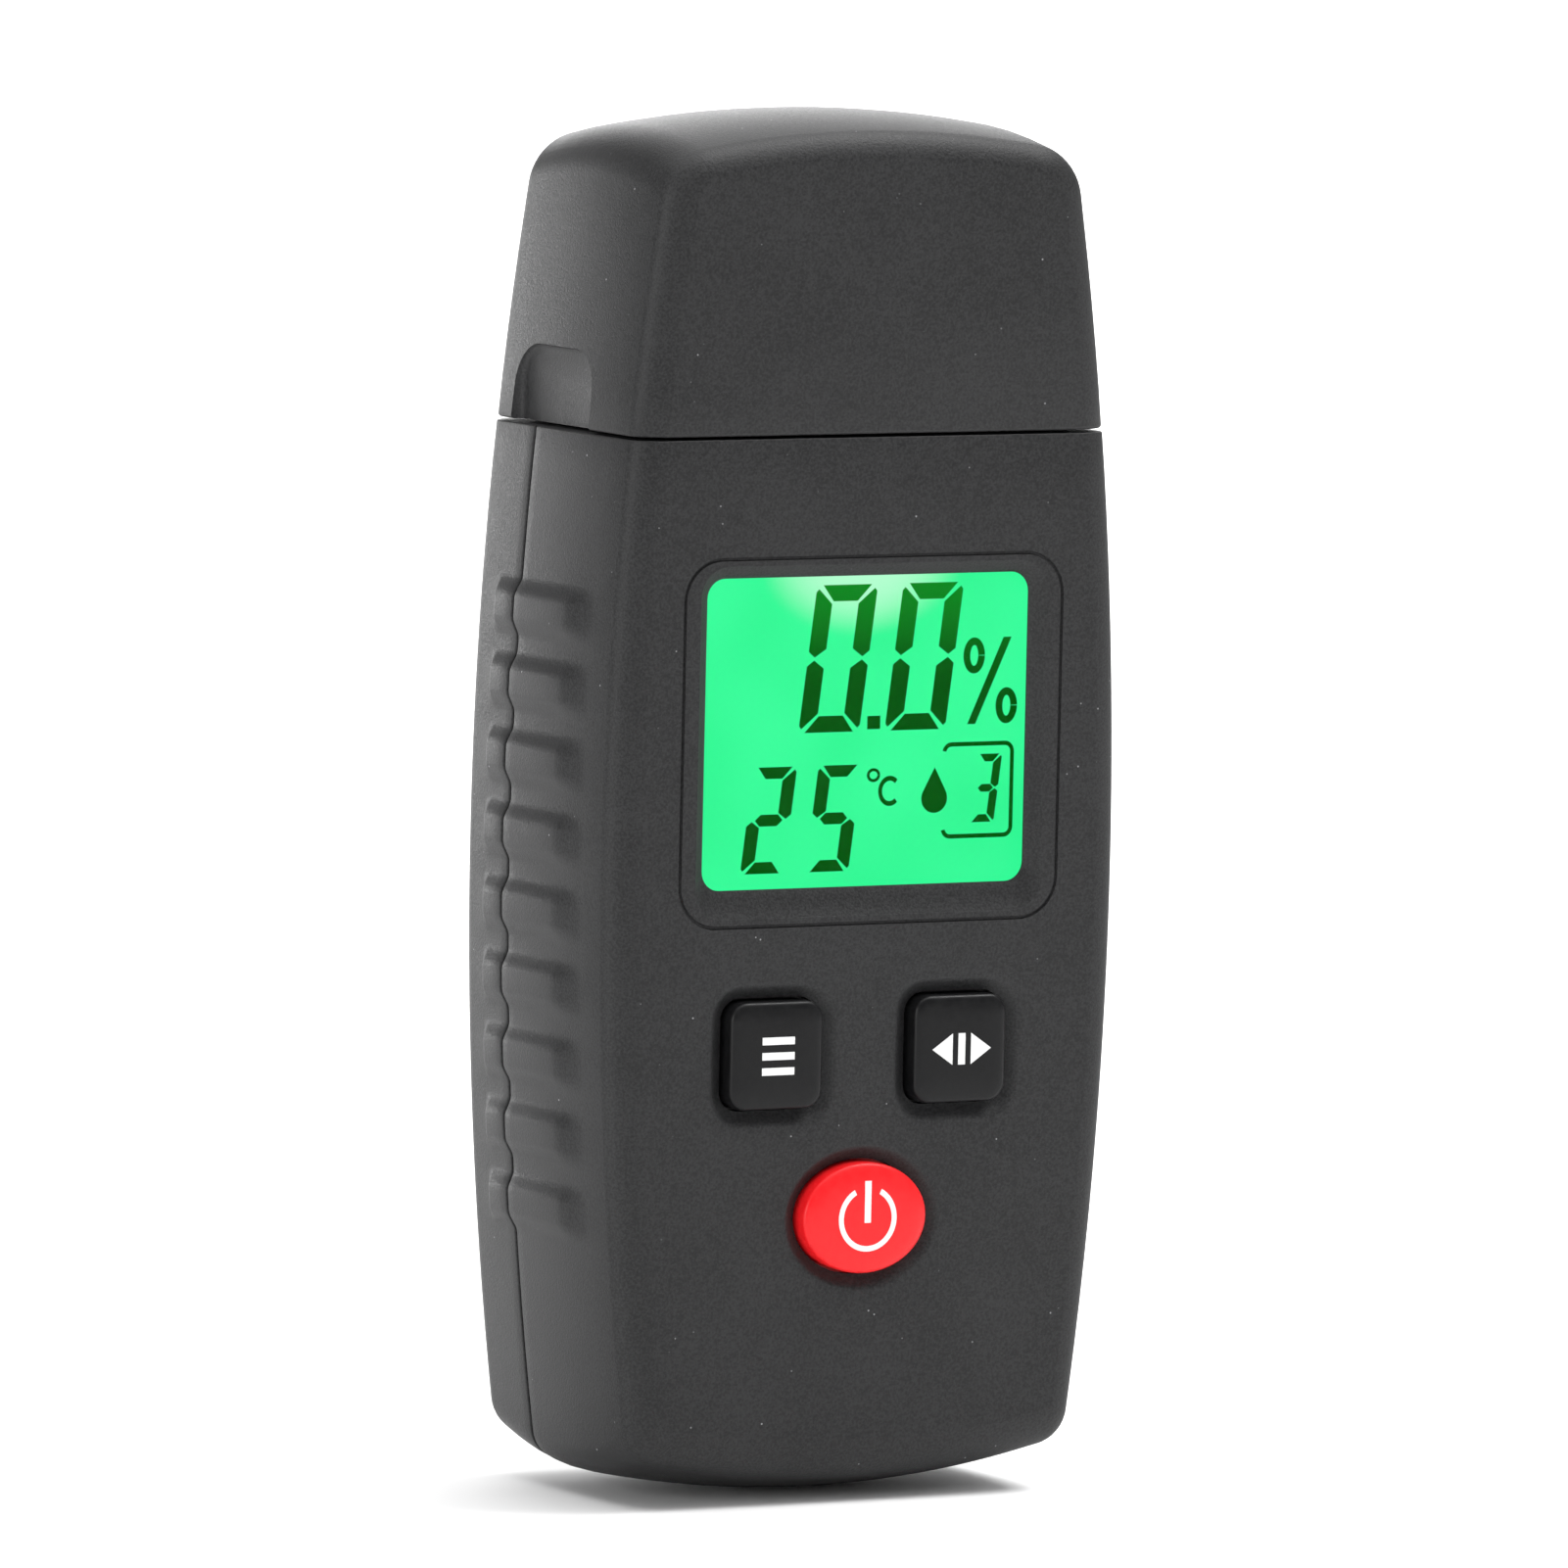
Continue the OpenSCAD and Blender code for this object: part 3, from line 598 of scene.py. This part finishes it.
def handset(name, skin=0.0, face_skin=0.0, edge_r=EDGE_R, rows=(22, 62, 97, 106, 110, 114, 118), ribbed=False,
            edge_steps=10, crease=0.0, squash=1.0):
    """The closed form of the whole handset, drawn in by skin, its front and back edges rounded."""
    half = DEPTH / 2 - face_skin
    front = edge_stations(half, edge_r, math.radians(crease), squash, edge_steps)
    if ribbed:
        middle = [RIB_FRONT_Y + (RIB_FULL_Y - RIB_FRONT_Y) * i / 10 for i in range(11)]
        middle += [-2.0, 1.5, 4.0, 7.0]
        middle += [RIB_BACK_FULL_Y + (RIB_BACK_Y - RIB_BACK_FULL_Y) * i / 5 for i in range(6)]
    else:
        middle = [half * i / 5 for i in range(-3, 4)]
    stations = front + [(y, 0.0) for y in middle] + [(-y, inset) for y, inset in reversed(front)]
    rings = []
    for y, inset in stations:
        ring = across(handset_outline(skin + inset, slice_top(y, inset), slice_foot(y), rows), y)
        if ribbed:
            ring = [(x + math.copysign(rib_relief(y, z), x) if abs(x) > HALF_W * 0.8 else x, y, z)
                    for x, y, z in ring]
        rings.append(ring)
    return loft(name, rings)


RIB_ROWS = [-3.0, -2.7, -2.4, -2.1, -1.8, -1.5, -1.2, -0.9, 0, 0.9, 1.2, 1.5, 1.8, 2.1, 2.4, 2.7, 3.0]
BODY_ROWS = [10, 14, 18, 22] + [RIB_Z0 + RIB_PITCH * i + d for i in range(RIB_COUNT) for d in RIB_ROWS]
BODY_ROWS += [90, 94, 98, 106, 112, 118]


def body_half(name, keep_front):
    """The ribbed body below the rim, in front of the parting line or behind it, still solid."""
    piece = handset(name, rows=BODY_ROWS, ribbed=True, crease=13, squash=0.72)
    slice_off(piece, (0, 0, RIM_Z), (0, 0, 1))
    part_y = FRONT_PART_Y if keep_front else BACK_PART_Y
    slice_off(piece, (0, part_y, 0), (0, 1 if keep_front else -1, 0))

    def at_rim(p):
        return abs(p.z - RIM_Z) < 1e-3

    def at_parting(p):
        return abs(p.y - part_y) < 1e-3

    round_edges(piece, lambda p: at_rim(p) or at_parting(p), 0.16, 3)
    return piece


def inner_form(name, rows=(22, 62, 97)):
    """The room inside the body, up to the shelf under the rim."""
    room = handset(name, SIDE_WALL, FACE_WALL, INNER_EDGE_R, rows, edge_steps=5)
    slice_off(room, (0, 0, RIM_Z - SHELF), (0, 0, 1))
    return room


STEM_W = 27.3
STEM_D = 12.3


def stem_hole(name):
    return block(name, (-STEM_W / 2, STEM_W / 2), (-STEM_D / 2, STEM_D / 2), (RIM_Z - SHELF - 1, RIM_Z + 1))


# Window: (depth behind the face, extra width, extra height, drop of the centre, corner)
WINDOW_STEPS = [(-0.3, 3.0, 4.4, 0.72, 3.3), (0.0, 2.6, 3.9, 0.72, 3.0), (0.12, 2.35, 3.6, 0.72, 2.9),
                (0.75, 0.9, 1.3, 0.3, 2.3), (1.0, 0.3, 0.4, 0.1, 2.0), (1.2, 0.0, 0.0, 0.0, 1.9),
                (1.5, 0.0, 0.0, 0.0, 1.9)]


def window_tool():
    rings = []
    for depth, wider, taller, drop, corner in WINDOW_STEPS:
        outline = rounded(WINDOW_W + wider, WINDOW_H + taller, corner)
        rings.append(across(outline, FRONT_Y + depth, 0, WINDOW_Z - drop))
    return loft("window_tool", rings)


def lens_room_tool():
    room = 0.5
    return block("lens_room", (lens_low[0] - room, lens_high[0] + room), (FRONT_Y + 1.35, FRONT_Y + 4),
                 (lens_low[2] - room, lens_high[2] + room))


FRAME_W = 41.0
FRAME_H = 34.9
FRAME_DROP = 0.75
FRAME_R = 4.0
GROOVE_W = 0.34
GROOVE_D = 0.3


def groove_tool():
    """A fine channel round the display, swept along a rounded rectangle."""
    profile = [(-0.5, -0.2), (-0.5, 0.6), (-0.25, 1.0), (0.25, 1.0), (0.5, 0.6), (0.5, -0.2)]
    rings = []
    for across_share, depth_share in profile:
        grow = GROOVE_W * across_share
        outline = rounded(FRAME_W + 2 * grow, FRAME_H + 2 * grow, FRAME_R + grow, 12)
        rings.append(across(outline, FRONT_Y + GROOVE_D * depth_share, 0, WINDOW_Z - FRAME_DROP))
    return loft("groove_tool", rings, looped=True)


def centre(node):
    low, high = in_mm(node)
    return (low[0] + high[0]) / 2, (low[2] + high[2]) / 2


KEY_W = 10.0
KEY_H = 10.3
KEY_R = 1.8
POWER_W = 13.4
POWER_H = 10.6
FLANGE = 1.25
HOLE_GAP = 0.5
# Moat round a button: (depth behind the face, how far past the button it reaches)
MOAT_STEPS = [(-0.3, 2.1), (0.0, 1.95), (0.006, 1.86), (0.03, 1.74), (0.1, 1.58), (0.25, 1.36), (0.45, 1.12),
              (0.65, 0.86), (0.83, 0.6), (0.95, 0.4), (1.02, HOLE_GAP / 2), (2.6, HOLE_GAP / 2)]


def moat_tool(name, shape, x0, z0):
    """Sinks the soft-edged moat round a button and its hole through the wall."""
    return loft(name, [across(shape(reach), FRONT_Y + depth, x0, z0) for depth, reach in MOAT_STEPS])


def key_shape(reach):
    return rounded(KEY_W + 2 * reach, KEY_H + 2 * reach * 0.9, KEY_R + max(reach, 0) * 0.8)


def power_shape(reach):
    return oval(POWER_W + 2 * reach * 0.95, POWER_H + 2 * reach * 0.9)


mode_x, key_z = centre("mode_button")
set_x, _ = centre("set_button")
_, power_z = centre("power_button")

SCREW_AT = [(18.4, 14.0), (19.5, 96.6)]
SCREW_PLACES = [(side * x, z) for x, z in SCREW_AT for side in (-1, 1)]
BOSS_R = 2.7
SUNK_BOSS_R = 3.4
SCREW_HOLE_R = 1.25
HEAD_HOLE_R = 2.6

front = body_half("front_shell_moulding", True)
carve(front, inner_form("front_room"))
carve(front, joined("front_tools", [
    window_tool(), groove_tool(), stem_hole("front_stem_hole"),
    moat_tool("mode_moat", key_shape, mode_x, key_z), moat_tool("set_moat", key_shape, set_x, key_z),
    moat_tool("power_moat", power_shape, 0, power_z)]))
carve(front, lens_room_tool())
carve(front, joined("front_bosses", [rod("boss", x, z, BOSS_R, FRONT_Y + FACE_WALL - 0.5, FRONT_PART_Y - 0.15)
                                     for x, z in SCREW_PLACES]), "UNION")
carve(front, joined("front_boss_holes", [rod("hole", x, z, SCREW_HOLE_R, -4, FRONT_PART_Y + 1)
                                         for x, z in SCREW_PLACES]))
fit(tidy(front), "handset", charcoal, "shell", "front_shell")

LIP_GAP = 0.15
LIP_T = 0.9
LIP_REACH = 1.6
LIP_ROOT = 1.2


def locating_lip():
    """The back shell's lip, which reaches inside the front shell and closes the parting line."""
    outer = SIDE_WALL + LIP_GAP
    inner = outer + LIP_T
    root = SIDE_WALL - 0.3
    profile = [(FRONT_PART_Y - LIP_REACH, outer), (BACK_PART_Y, outer), (BACK_PART_Y, root),
               (BACK_PART_Y + LIP_ROOT, root), (BACK_PART_Y + LIP_ROOT, inner),
               (FRONT_PART_Y - LIP_REACH, inner)]
    rings = [across(handset_outline(inset, slice_top(y, inset), slice_foot(y), (22, 62, 97)), y)
             for y, inset in profile]
    lip = loft("locating_lip", rings, looped=True)
    slice_off(lip, (0, 0, RIM_Z - SHELF + 0.3), (0, 0, 1))
    return lip


TUB_HALF = 15.0
TUB_WALL = 1.35
TUB_Y = back_low[1]
TUB_Z0 = 9.4
TUB_Z1 = 67.0
DOOR_T = 1.8
DOOR_GAP = 0.3

back = body_half("back_shell_moulding", False)
carve(back, inner_form("back_room"))
carve(back, locating_lip(), "UNION")
carve(back, joined("back_bosses", [rod("boss", x, z, SUNK_BOSS_R, BACK_PART_Y, BACK_Y - EDGE_R / 2)
                                   for x, z in SCREW_PLACES]), "UNION")
carve(back, block("bay_box", (-TUB_HALF, TUB_HALF), (TUB_Y, BACK_Y - FACE_WALL + 0.5), (TUB_Z0, TUB_Z1)),
      "UNION")
bay_half = TUB_HALF - TUB_WALL
carve(back, block("bay_room", (-bay_half, bay_half), (TUB_Y + 1, BACK_Y - 1), (TUB_Z0 + 1, TUB_Z1 - 2.8)))
carve(back, block("door_opening", (door_low[0] + 1.5 - DOOR_GAP, door_high[0] - 1.5 + DOOR_GAP),
                  (BACK_Y - DOOR_T - 0.15, BACK_Y + 1), (door_low[2] - DOOR_GAP, door_high[2] + DOOR_GAP)))
carve(back, joined("back_tools", [stem_hole("back_stem_hole")] + [
    rod("head_hole", x, z, HEAD_HOLE_R, BACK_Y - 3.8, BACK_Y + 1) for x, z in SCREW_PLACES]))
carve(back, joined("back_screw_holes", [rod("screw_hole", x, z, SCREW_HOLE_R, BACK_PART_Y - 1, BACK_Y - 3)
                                        for x, z in SCREW_PLACES]))
fit(tidy(back), "handset", charcoal, "shell", "back_shell")


# ---------- the battery door ----------

HINGE_R = DOOR_T / 2
HINGE_Y = BACK_Y - HINGE_R
HINGE_Z = door_low[2] + HINGE_R
DOOR_HALF = door_high[0] - 1.5
# The rounded outer edge of the door: (depth below its face, inset)
DOOR_EDGE = [(0.0, 0.5), (0.03, 0.32), (0.12, 0.15), (0.3, 0.03), (0.5, 0.0), (DOOR_T, 0.0)]
LATCH_Z = door_high[2] - 5.0
# A grip groove along the door, with tapered ends: (x, radius)
GROOVE = [(-8, 0.1), (-7.4, 0.5), (7.4, 0.5), (8, 0.1)]
GRIP_BELOW_TOP = 13.5
GRIP_PITCH = 2.0


def turned_bar(name, profile, y, z, steps=40):
    """A round bar along X, from (x, radius) pairs."""
    turns = [2 * math.pi * i / steps for i in range(steps)]
    return loft(name, [[(x, y + radius * math.cos(a), z + radius * math.sin(a)) for a in turns]
                       for x, radius in profile])


door_mid = (HINGE_Z + door_high[2]) / 2
door_tall = door_high[2] - HINGE_Z
door = loft("battery_door_moulding", [
    across(rounded(2 * (DOOR_HALF - inset), door_tall - 2 * inset, 1.0 - inset / 2), BACK_Y - depth, 0,
           door_mid) for depth, inset in DOOR_EDGE])
carve(door, turned_bar("hinge_bar", [(-DOOR_HALF - 1.5, 0.6), (-DOOR_HALF, 0.6), (-DOOR_HALF, HINGE_R),
                                     (DOOR_HALF, HINGE_R), (DOOR_HALF, 0.6), (DOOR_HALF + 1.5, 0.6)],
                       HINGE_Y, HINGE_Z), "UNION")
carve(door, block("latch", (-5, 5), (door_low[1], BACK_Y - DOOR_T + 0.2), (LATCH_Z - 0.6, LATCH_Z + 0.6)),
      "UNION")
carve(door, joined("grip_grooves", [
    turned_bar("groove", GROOVE, BACK_Y, door_high[2] - GRIP_BELOW_TOP + GRIP_PITCH * i, 16)
    for i in range(5)]))
fit(tidy(door), "door", charcoal, "shell", "battery_door")


# ---------- the cap ----------

THUMB_W = 15.0
THUMB_H = 7.5
THUMB_R = 4.0
THUMB_MID_Y = FRONT_Y + 10.6 + THUMB_W / 2
THUMB_FLOOR_X = HALF_W - (CAP_Z - WIDEST_Z) ** 2 / (2 * SIDE_R) - 1.3


def thumb_tool(side):
    """A shallow recess with a round top, its walls leaning out."""
    rings = []
    for x, grow in [(0.0, -0.7), (0.12, -0.35), (0.4, -0.1), (1.0, 0.1), (2.5, 0.5)]:
        outline = rounded(THUMB_W + 2 * grow, 4 * THUMB_H + 2 * grow, THUMB_R + grow, 12)
        rings.append([(side * (THUMB_FLOOR_X + x), THUMB_MID_Y + y, CAP_Z - THUMB_H + z) for y, z in outline])
    return loft("thumb_tool", rings)


cap = handset("cap_moulding", crease=24, squash=0.6)
slice_off(cap, (0, 0, CAP_Z), (0, 0, -1))
round_edges(cap, lambda p: abs(p.z - CAP_Z) < 1e-3, 0.35, 3)
carve(cap, handset("cap_room", CAP_WALL, CAP_WALL, INNER_EDGE_R, edge_steps=5))
carve(cap, joined("thumb_tools", [thumb_tool(1), thumb_tool(-1)]))
fit(tidy(cap), "cap", charcoal, "shell", "cap")


# ---------- buttons ----------

def button(name, shape, x0, z0, proud, flange_y, dome):
    """A moulded button: domed top, round shoulders, straight sides and a flange behind the wall."""
    top = FRONT_Y - proud
    steps = [(top, -2.6), (top + dome * 0.2, -1.6), (top + dome * 0.55, -0.85), (top + dome, -0.42),
             (top + dome + 0.1, -0.2), (top + dome + 0.25, -0.06), (top + dome + 0.45, 0.0),
             (flange_y, 0.0), (flange_y, FLANGE), (flange_y + 1, FLANGE)]
    return loft(name, [across(shape(reach), y, x0, z0) for y, reach in steps])


def button_face(reach):
    """A square button's own outline, smaller towards the middle of its top."""
    return rounded(KEY_W + 2 * reach, KEY_H + 2 * reach, max(0.5, KEY_R + reach * 0.6))


def power_face(reach):
    return oval(POWER_W + 2 * reach, POWER_H + 2 * reach)


flange_front = FRONT_Y + FACE_WALL + 0.15
BUTTONS = [("mode_button", "mode_key", "key", key_black, button_face),
           ("set_button", "set_key", "key", key_black, button_face),
           ("power_button", "power_key", "power_red", power_red, power_face)]
for node, body, slot_name, finish, shape in BUTTONS:
    x0, z0 = centre(node)
    proud = FRONT_Y - in_mm(node)[0][1]
    dome = 0.35 if slot_name == "power_red" else 0.16
    made = button(node + "_moulding", shape, x0, z0, proud, flange_front, dome)
    fit(tidy(made, 40), body, finish, slot_name, node)


# ---------- printed symbols ----------

INK = 0.03


def ring_outline(outer, inner, start, end, steps=48):
    """A band of a ring from one angle to another, as one outline."""
    a, b = math.radians(start), math.radians(end)
    return arc(0, 0, outer, a, b, steps) + arc(0, 0, inner, b, a, steps)


def bar(x0, z0, x1, z1):
    return [(x0, z0), (x1, z0), (x1, z1), (x0, z1)]


def print_on(name, node, body, outlines):
    """Prints outlines on a button's top, as ink a hair thick."""
    x0, z0 = centre(node)
    top = in_mm(node)[0][1]
    pieces = [plate(name, outline, top - INK, top + 0.05, x0, z0) for outline in outlines]
    fit(joined(name, pieces), body, white_ink, "key" if "power" not in name else "power_red")


print_on("mode_symbol", "mode_button", "mode_key",
         [bar(-1.75, z - 0.36, 1.75, z + 0.36) for z in (-1.45, 0.0, 1.45)])
print_on("set_symbol", "set_button", "set_key",
         [[(-3.2, 0.0), (-1.0, -1.5), (-1.0, 1.5)], [(3.2, 0.0), (1.0, 1.5), (1.0, -1.5)],
          bar(-0.38, -1.5, 0.38, 1.5)])
print_on("power_symbol", "power_button", "power_key",
         [ring_outline(3.15, 2.62, 118, 422), bar(-0.34, -0.4, 0.34, 3.6)])


# ---------- the display ----------

GLASS_Y = glass_low[1]
SLANT = 0.125


def seven_segment(lit, left, top, width, height, side, level):
    """The lit bars of a slanted digit in window mm, depth down; side and level are the bars' widths."""
    nick = 0.14 * side
    mid = height / 2

    def level_bar(z, inward):
        """A bar across: a trapezoid at the top or foot, a pointed bar in the middle."""
        if inward == 0:
            x0, x1, half = side * 0.62, width - side * 0.62, level / 2
            return [(x0, z), (x0 + half, z - half), (x1 - half, z - half), (x1, z), (x1 - half, z + half),
                    (x0 + half, z + half)]
        x0, x1 = side * 0.36, width - side * 0.36
        inner = z + inward * level
        return [(x0, z), (x1, z), (x1 - level * 0.86, inner), (x0 + level * 0.86, inner)]

    def side_bar(x, z_end, z_mid, outward):
        """A bar up the side: cut on the slant at the corner, pointed at the middle."""
        outer = x
        inner = x - outward * side
        way = 1 if z_mid > z_end else -1
        tip = x - outward * side * 0.38
        return [(outer - outward * side * 0.14, z_end + way * side * 0.2), (outer, z_end + way * side * 0.36),
                (outer, z_mid - way * (nick + side * 0.24)), (tip, z_mid - way * nick * 0.6),
                (inner, z_mid - way * (nick + side * 0.36)), (inner, z_end + way * (level + nick))]

    bars = {"a": level_bar(0, 1), "g": level_bar(mid, 0), "d": level_bar(height, -1),
            "f": side_bar(0, 0, mid, -1), "b": side_bar(width, 0, mid, 1),
            "e": side_bar(0, height, mid, -1), "c": side_bar(width, height, mid, 1)}
    return [[(left + x + SLANT * (height - z), top + z) for x, z in bars[name]] for name in lit]


def shifted(points, x, z):
    return [(x + px, z + pz) for px, pz in points]


def display_marks():
    """Everything shown on the display, as outlines from the window's top left corner, in mm."""
    marks = []
    for left in (10.9, 20.3):
        marks += seven_segment("abcdef", left, 0.98, 6.6, 14.0, 1.85, 1.55)
    marks.append(shifted(bar(0, 0, 1.4, 1.25), 18.4, 13.55))
    marks += seven_segment("abged", 4.9, 18.15, 4.7, 10.1, 1.4, 1.1)
    marks += seven_segment("afgcd", 11.95, 18.15, 4.7, 10.1, 1.4, 1.1)
    marks += seven_segment("abgcd", 29.75, 17.5, 2.7, 6.5, 0.85, 0.72)
    # Percent sign
    marks.append([(29.35, 14.6), (33.15, 6.35), (34.0, 6.35), (30.2, 14.6)])
    marks += [shifted(hollow(1.17, 1.72, 0.72), 29.95, 8.05), shifted(hollow(1.17, 1.72, 0.72), 33.6, 12.9)]
    # Degrees Celsius
    marks.append(shifted(hollow(0.72, 0.66, 0.28), 19.2, 19.2))
    marks.append(shifted([(x * 0.86, z) for x, z in ring_outline(1.44, 0.98, 48, 312, 24)], 21.0, 20.75))
    marks.append(shifted(drop(1.95), 25.9, 20.9))
    marks.append(open_bracket(26.7, 16.3, 34.55, 25.5, 1.0, 0.4))
    return marks


def open_bracket(x0, z0, x1, z1, radius, line):
    """A rounded frame without its left side, whose two arms hook round at their ends."""
    quarter = math.pi / 2
    hook = math.radians(12)
    outer = arc(x0 + radius, z0 + radius, radius, 2 * quarter + hook, 3 * quarter, 8)
    outer += arc(x1 - radius, z0 + radius, radius, 3 * quarter, 4 * quarter, 8)
    outer += arc(x1 - radius, z1 - radius, radius, 0.0, quarter, 8)
    outer += arc(x0 + radius, z1 - radius, radius, quarter, 2 * quarter - hook, 8)
    inside = radius - line
    inner = arc(x0 + radius, z1 - radius, inside, 2 * quarter - hook, quarter, 8)
    inner += arc(x1 - radius, z1 - radius, inside, quarter, 0.0, 8)
    inner += arc(x1 - radius, z0 + radius, inside, 4 * quarter, 3 * quarter, 8)
    inner += arc(x0 + radius, z0 + radius, inside, 3 * quarter, 2 * quarter + hook, 8)
    return outer + inner


def hollow(width, height, stroke):
    """A ring cut by a hair line, as one outline."""
    steps = 36
    hair = 0.02
    turn = [hair + (2 * math.pi - 2 * hair) * i / steps for i in range(steps + 1)]
    outer = [(width * math.cos(a), height * math.sin(a)) for a in turn]
    inner = [((width - stroke) * math.cos(a), (height - stroke) * math.sin(a)) for a in reversed(turn)]
    return outer + inner


def drop(size):
    """A water drop with its point up."""
    round_part = [(size * 0.72 * math.cos(a), size * 0.72 * math.sin(a) + size * 0.35)
                  for a in (math.radians(-30 + 240 * i / 24) for i in range(25))]
    return round_part + [(0.0, -size * 1.15)]


def show_marks(name, outlines, finish):
    left = -WINDOW_W / 2
    top = WINDOW_Z + WINDOW_H / 2
    pieces = []
    for outline in outlines:
        points = [(left + x, top - z) for x, z in outline]
        pieces.append(plate(name, points, GLASS_Y - 0.04, GLASS_Y - 0.01))
    fit(joined(name, pieces), "handset", finish, "lcd")


show_marks("display_segments", display_marks(), segment_ink)


# ---------- floor, light and camera ----------

def stage():
    """A pale floor under soft studio lights."""
    bpy.ops.object.select_all(action="DESELECT")
    bpy.ops.mesh.primitive_plane_add(size=30)
    floor = bpy.context.object
    floor.name = "floor"
    f = Finish("pale_floor")
    faint = f.noise(400.0, 2.0)
    floor.data.materials.append(f.surface(base_color=f.blend(faint, (0.93, 0.93, 0.93), (0.95, 0.95, 0.95)),
                                          roughness=0.9, specular_ior_level=0.1))


def panel_light(name, place, target, width, height, power):
    data = bpy.data.lights.new(name, "AREA")
    data.shape = "RECTANGLE"
    data.size = width
    data.size_y = height
    data.energy = power
    light = bpy.data.objects.new(name, data)
    bpy.context.scene.collection.objects.link(light)
    light.location = place
    light.rotation_euler = (Vector(target) - Vector(place)).to_track_quat("-Z", "Y").to_euler()


def overhead_sun(power, spread):
    """Even light from straight above, soft as an overcast sky, so the floor is equally white all over."""
    data = bpy.data.lights.new("overhead", "SUN")
    data.energy = power
    data.angle = math.radians(spread)
    light = bpy.data.objects.new("overhead", data)
    bpy.context.scene.collection.objects.link(light)


stage()
middle = (0.0, 0.0, HEIGHT / 2 * MM)
overhead_sun(2.1, 70)
panel_light("back_panel", (1.5, 2.6, 1.2), middle, 2.4, 2.2, 66)
panel_light("rim_light", (-0.45, 2.3, 0.12), middle, 1.0, 0.2, 8)
panel_light("high_light", (0.85, -0.2, 1.5), middle, 0.8, 0.8, 20)
panel_light("front_left_light", (-1.7, -0.75, 0.45), middle, 0.6, 0.8, 11)

world = bpy.data.worlds.new("studio")
bpy.context.scene.world = world
world.use_nodes = True
world.node_tree.nodes["Background"].inputs["Color"].default_value = (1.0, 1.0, 1.0, 1.0)
world.node_tree.nodes["Background"].inputs["Strength"].default_value = 0.4
bpy.context.scene.view_settings.view_transform = "Standard"

AZIMUTH = math.radians(-29.45)
ELEVATION = math.radians(5.45)
ROLL = math.radians(1.24)
DISTANCE = 1.609
LENS = 386.65
AIM_Z = 67.0
AIM_RIGHT = -0.74
AIM_UP = 0.31

camera_data = bpy.data.cameras.new("camera")
camera_data.lens = LENS
camera_data.sensor_width = 36.0
camera = bpy.data.objects.new("camera", camera_data)
bpy.context.scene.collection.objects.link(camera)
outward = Vector((math.sin(AZIMUTH) * math.cos(ELEVATION), -math.cos(AZIMUTH) * math.cos(ELEVATION),
                  math.sin(ELEVATION)))
turned = (-outward).to_track_quat("-Z", "Y").to_matrix() @ Matrix.Rotation(ROLL, 3, "Z")
aim = Vector((0.0, 0.0, AIM_Z * MM)) + turned @ Vector((AIM_RIGHT * MM, AIM_UP * MM, 0.0))
camera.location = aim + outward * DISTANCE
camera.rotation_euler = turned.to_euler()
bpy.context.scene.camera = camera
